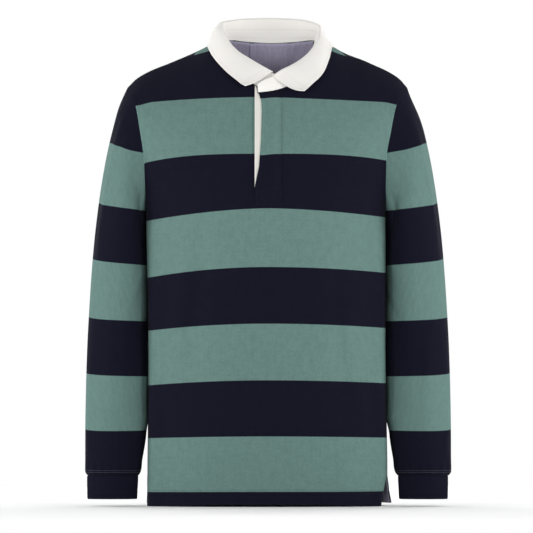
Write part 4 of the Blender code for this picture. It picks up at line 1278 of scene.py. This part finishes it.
# sewing: cloth heights of the hem's rows, and the armhole rows by distance from the seam
HEM_ROWS = (19.0, 24.0)
ARM_ROWS = (
    # word    in   length gap   thick
    ("inner", 8.4, 2.7, 0.8, 0.45),
    ("edge", 1.2, 3.2, 0.15, 1.0),
)
VENT_ROW = 5.0


def panel_run(outer, inner, u, t):
    """A run of places on a panel and the way out of the cloth there."""
    p, q = (on_rows(points, PANEL_U, PANEL_T, u, t) for points in (outer, inner))
    return p, unit(p - q)


def both_sides(outer, inner, row, t):
    """Runs up both sides of a panel, row millimetres in from its edge."""
    return [panel_run(outer, inner, side * (1 - row / PANEL_HALF) + 0 * t, t)
            for side in (-1.0, 1.0)]


def nearest_band(points, cloth_points, bands):
    """The stripe place of the panel under each stitch point."""
    tree = KDTree(bands.size)
    for k, q in enumerate(cloth_points.reshape(-1, 3)):
        tree.insert(q, k)
    tree.balance()
    return np.array([bands.flat[tree.find(q)[1]] for q in points])


def panel_sewing(word, outer, inner, bands):
    """Hem stitches, and two rows along each armhole."""
    u = np.linspace(-0.995, 0.995, 400)
    runs = [panel_run(outer, inner, u, np.full_like(u, row)) for row in HEM_ROWS]
    made = [stitches(f"hem_stitches_{word}", runs, navy_thread)]
    t = np.linspace(UNDERARM_S + 2, TOP_S - 4, 240)
    for apart, row, length, gap, thick in ARM_ROWS:
        made.append(stitches(f"armhole_{apart}_stitches_{word}",
                             both_sides(outer, inner, row, t), seam_highlight_thread,
                             length, gap, thick, lambda p: nearest_band(p, outer, bands)))
    return made


front_stitches = panel_sewing("front", front_out, front_in, front_band)
back_stitches = panel_sewing("back", back_out, back_in, back_band)
for word, made, outer, inner in (("front", front_stitches, front_out, front_in),
                                 ("back", back_stitches, back_out, back_in)):
    runs = both_sides(outer, inner, VENT_ROW, np.linspace(2.0, VENT_S, 40))
    made.append(stitches(f"vent_stitches_{word}", runs, navy_thread))

def run_on(outer, inner):
    return outer, unit(outer - inner)


for word, (outer, inner) in sleeves.items():
    rows = [int(np.argmin(np.abs(SLEEVE_T - (SLEEVE_END - gap)))) for gap in (9.0, 4.6)]
    runs = [run_on(outer[r], inner[r]) for r in rows]
    stitches(f"sleeve_stitches_{word}", runs, grey_thread,
                                  thick=0.8)

runs = [run_on(stand_in[r, 8:-8], stand_out[r, 8:-8]) for r in (4, 13)]
stand_stitches = stitches("stand_stitches", runs, stitch_white, thick=0.6)
low_row = leaf_out.shape[0] - 5
runs = [run_on(leaf_out[low_row, 6:-6], leaf_in[low_row, 6:-6])]
runs += [run_on(leaf_out[4:-4, c], leaf_in[4:-4, c]) for c in (6, -7)]
leaf_stitches = stitches("leaf_stitches", runs, stitch_white, thick=0.6)

z = np.linspace(FLAP_FOOT + 2.0, -86.0, 260)
runs = [on_flap(np.full_like(z, FLAP_RIGHT - 1.6), z)]
z = np.linspace(-241.0, FLAP_FOOT + 2.0, 40)
runs.append(on_flap(flap_edge(z) + 2.4, z))
for height in (-241.0, FLAP_FOOT + 2.2):
    x = np.linspace(flap_edge(np.array(height)) + 2.4, FLAP_RIGHT - 1.6, 40)
    runs.append(on_flap(x, np.full_like(x, height)))
placket_stitches = stitches("placket_stitches", runs, navy_thread)

# stage

FLOOR_Z = -0.7572     # metres, under the hem
FLOOR_RADIUS = 1.7

bm = bmesh.new()
bmesh.ops.create_circle(bm, cap_ends=True, segments=96, radius=FLOOR_RADIUS,
                        matrix=Matrix.Translation((0, 0, FLOOR_Z)))
mesh = bpy.data.meshes.new("floor")
bm.to_mesh(mesh)
bm.free()
floor = bpy.data.objects.new("floor", mesh)
bpy.context.scene.collection.objects.link(floor)
floor_white, _, shader = new_finish("studio_floor", 1.0, specular=0.0)
shader.inputs["Base Color"].default_value = (0.97, 0.97, 0.97, 1.0)
mesh.materials.append(floor_white)

SKY_LIGHT = 0.58      # straight out above eye level, less towards the top


def studio_world():
    """White below and at eye level all round, so the floor runs on; softer light above."""
    world = bpy.data.worlds.new("studio")
    bpy.context.scene.world = world
    world.use_nodes = True
    tree = world.node_tree
    way = node(tree, "ShaderNodeTexCoord").outputs["Generated"]
    height = node(tree, "ShaderNodeSeparateXYZ", ("Vector", way)).outputs["Z"]
    steep = maths(tree, "POWER", maths(tree, "ABSOLUTE", height), 1.5)
    faded = maths(tree, "SUBTRACT", 1.0, maths(tree, "MULTIPLY", steep, 0.75))
    sky = maths(tree, "MULTIPLY", faded, SKY_LIGHT)
    low = maths(tree, "SUBTRACT", 3.0, maths(tree, "MULTIPLY", height, 18.0), clamp=True)
    strength = node(tree, "ShaderNodeMix")
    tree.links.new(low, strength.inputs[0])
    tree.links.new(sky, strength.inputs[2])
    strength.inputs[3].default_value = 1.0
    tree.links.new(strength.outputs[0], tree.nodes["Background"].inputs["Strength"])
    tree.nodes["Background"].inputs["Color"].default_value = (1.0, 1.0, 1.0, 1.0)


studio_world()

scene = bpy.context.scene
scene.view_settings.view_transform = "Standard"
scene.view_settings.look = "None"


def aimed(name, lamp, place, aim):
    ob = bpy.data.objects.new(name, lamp)
    scene.collection.objects.link(ob)
    ob.location = place
    ob.rotation_euler = (Vector(aim) - Vector(place)).to_track_quat("-Z", "Y").to_euler()


def soft_box(name, place, aim, size, power):
    lamp = bpy.data.lights.new(name, "AREA")
    lamp.shape = "SQUARE"
    lamp.size = size
    lamp.energy = power
    aimed(name, lamp, place, aim)


sun = bpy.data.lights.new("overhead_light", "SUN")
sun.angle = math.radians(50)
sun.energy = 0.75
aimed("overhead_light", sun, (0.0, 1.6, 3.0), (0, 0, 0))
for side in (-1.0, 1.0):
    soft_box("front_light", (side * 2.2, -3.9, 0.6), (0, 0, -0.4), 1.6, 46.5)
    soft_box("side_light", (side * 4.24, -0.5, 0.3), (0, 0, -0.4), 1.6, 80.0)
    soft_box("back_light", (side * 1.3, 2.5, 1.3), (side * 0.3, 1.5, -0.76), 1.0, 26.0)

spot = bpy.data.lights.new("neck_light", "SPOT")
spot.spot_size = math.radians(11)
spot.spot_blend = 1.0
spot.shadow_soft_size = 0.3
spot.energy = 9.0
aimed("neck_light", spot, (0.0, -2.2, 0.9), (0, 0, 0.02))

# straight in front and far off, as the photo was taken
camera = bpy.data.cameras.new("camera")
camera.lens = 831.3
camera.sensor_width = 36.0
camera.clip_end = 200.0
camera_ob = bpy.data.objects.new("camera", camera)
scene.collection.objects.link(camera_ob)
camera_ob.location = (-0.0026, -20.0, -0.3686)
camera_ob.rotation_euler = (math.pi / 2, 0, 0)
scene.camera = camera_ob
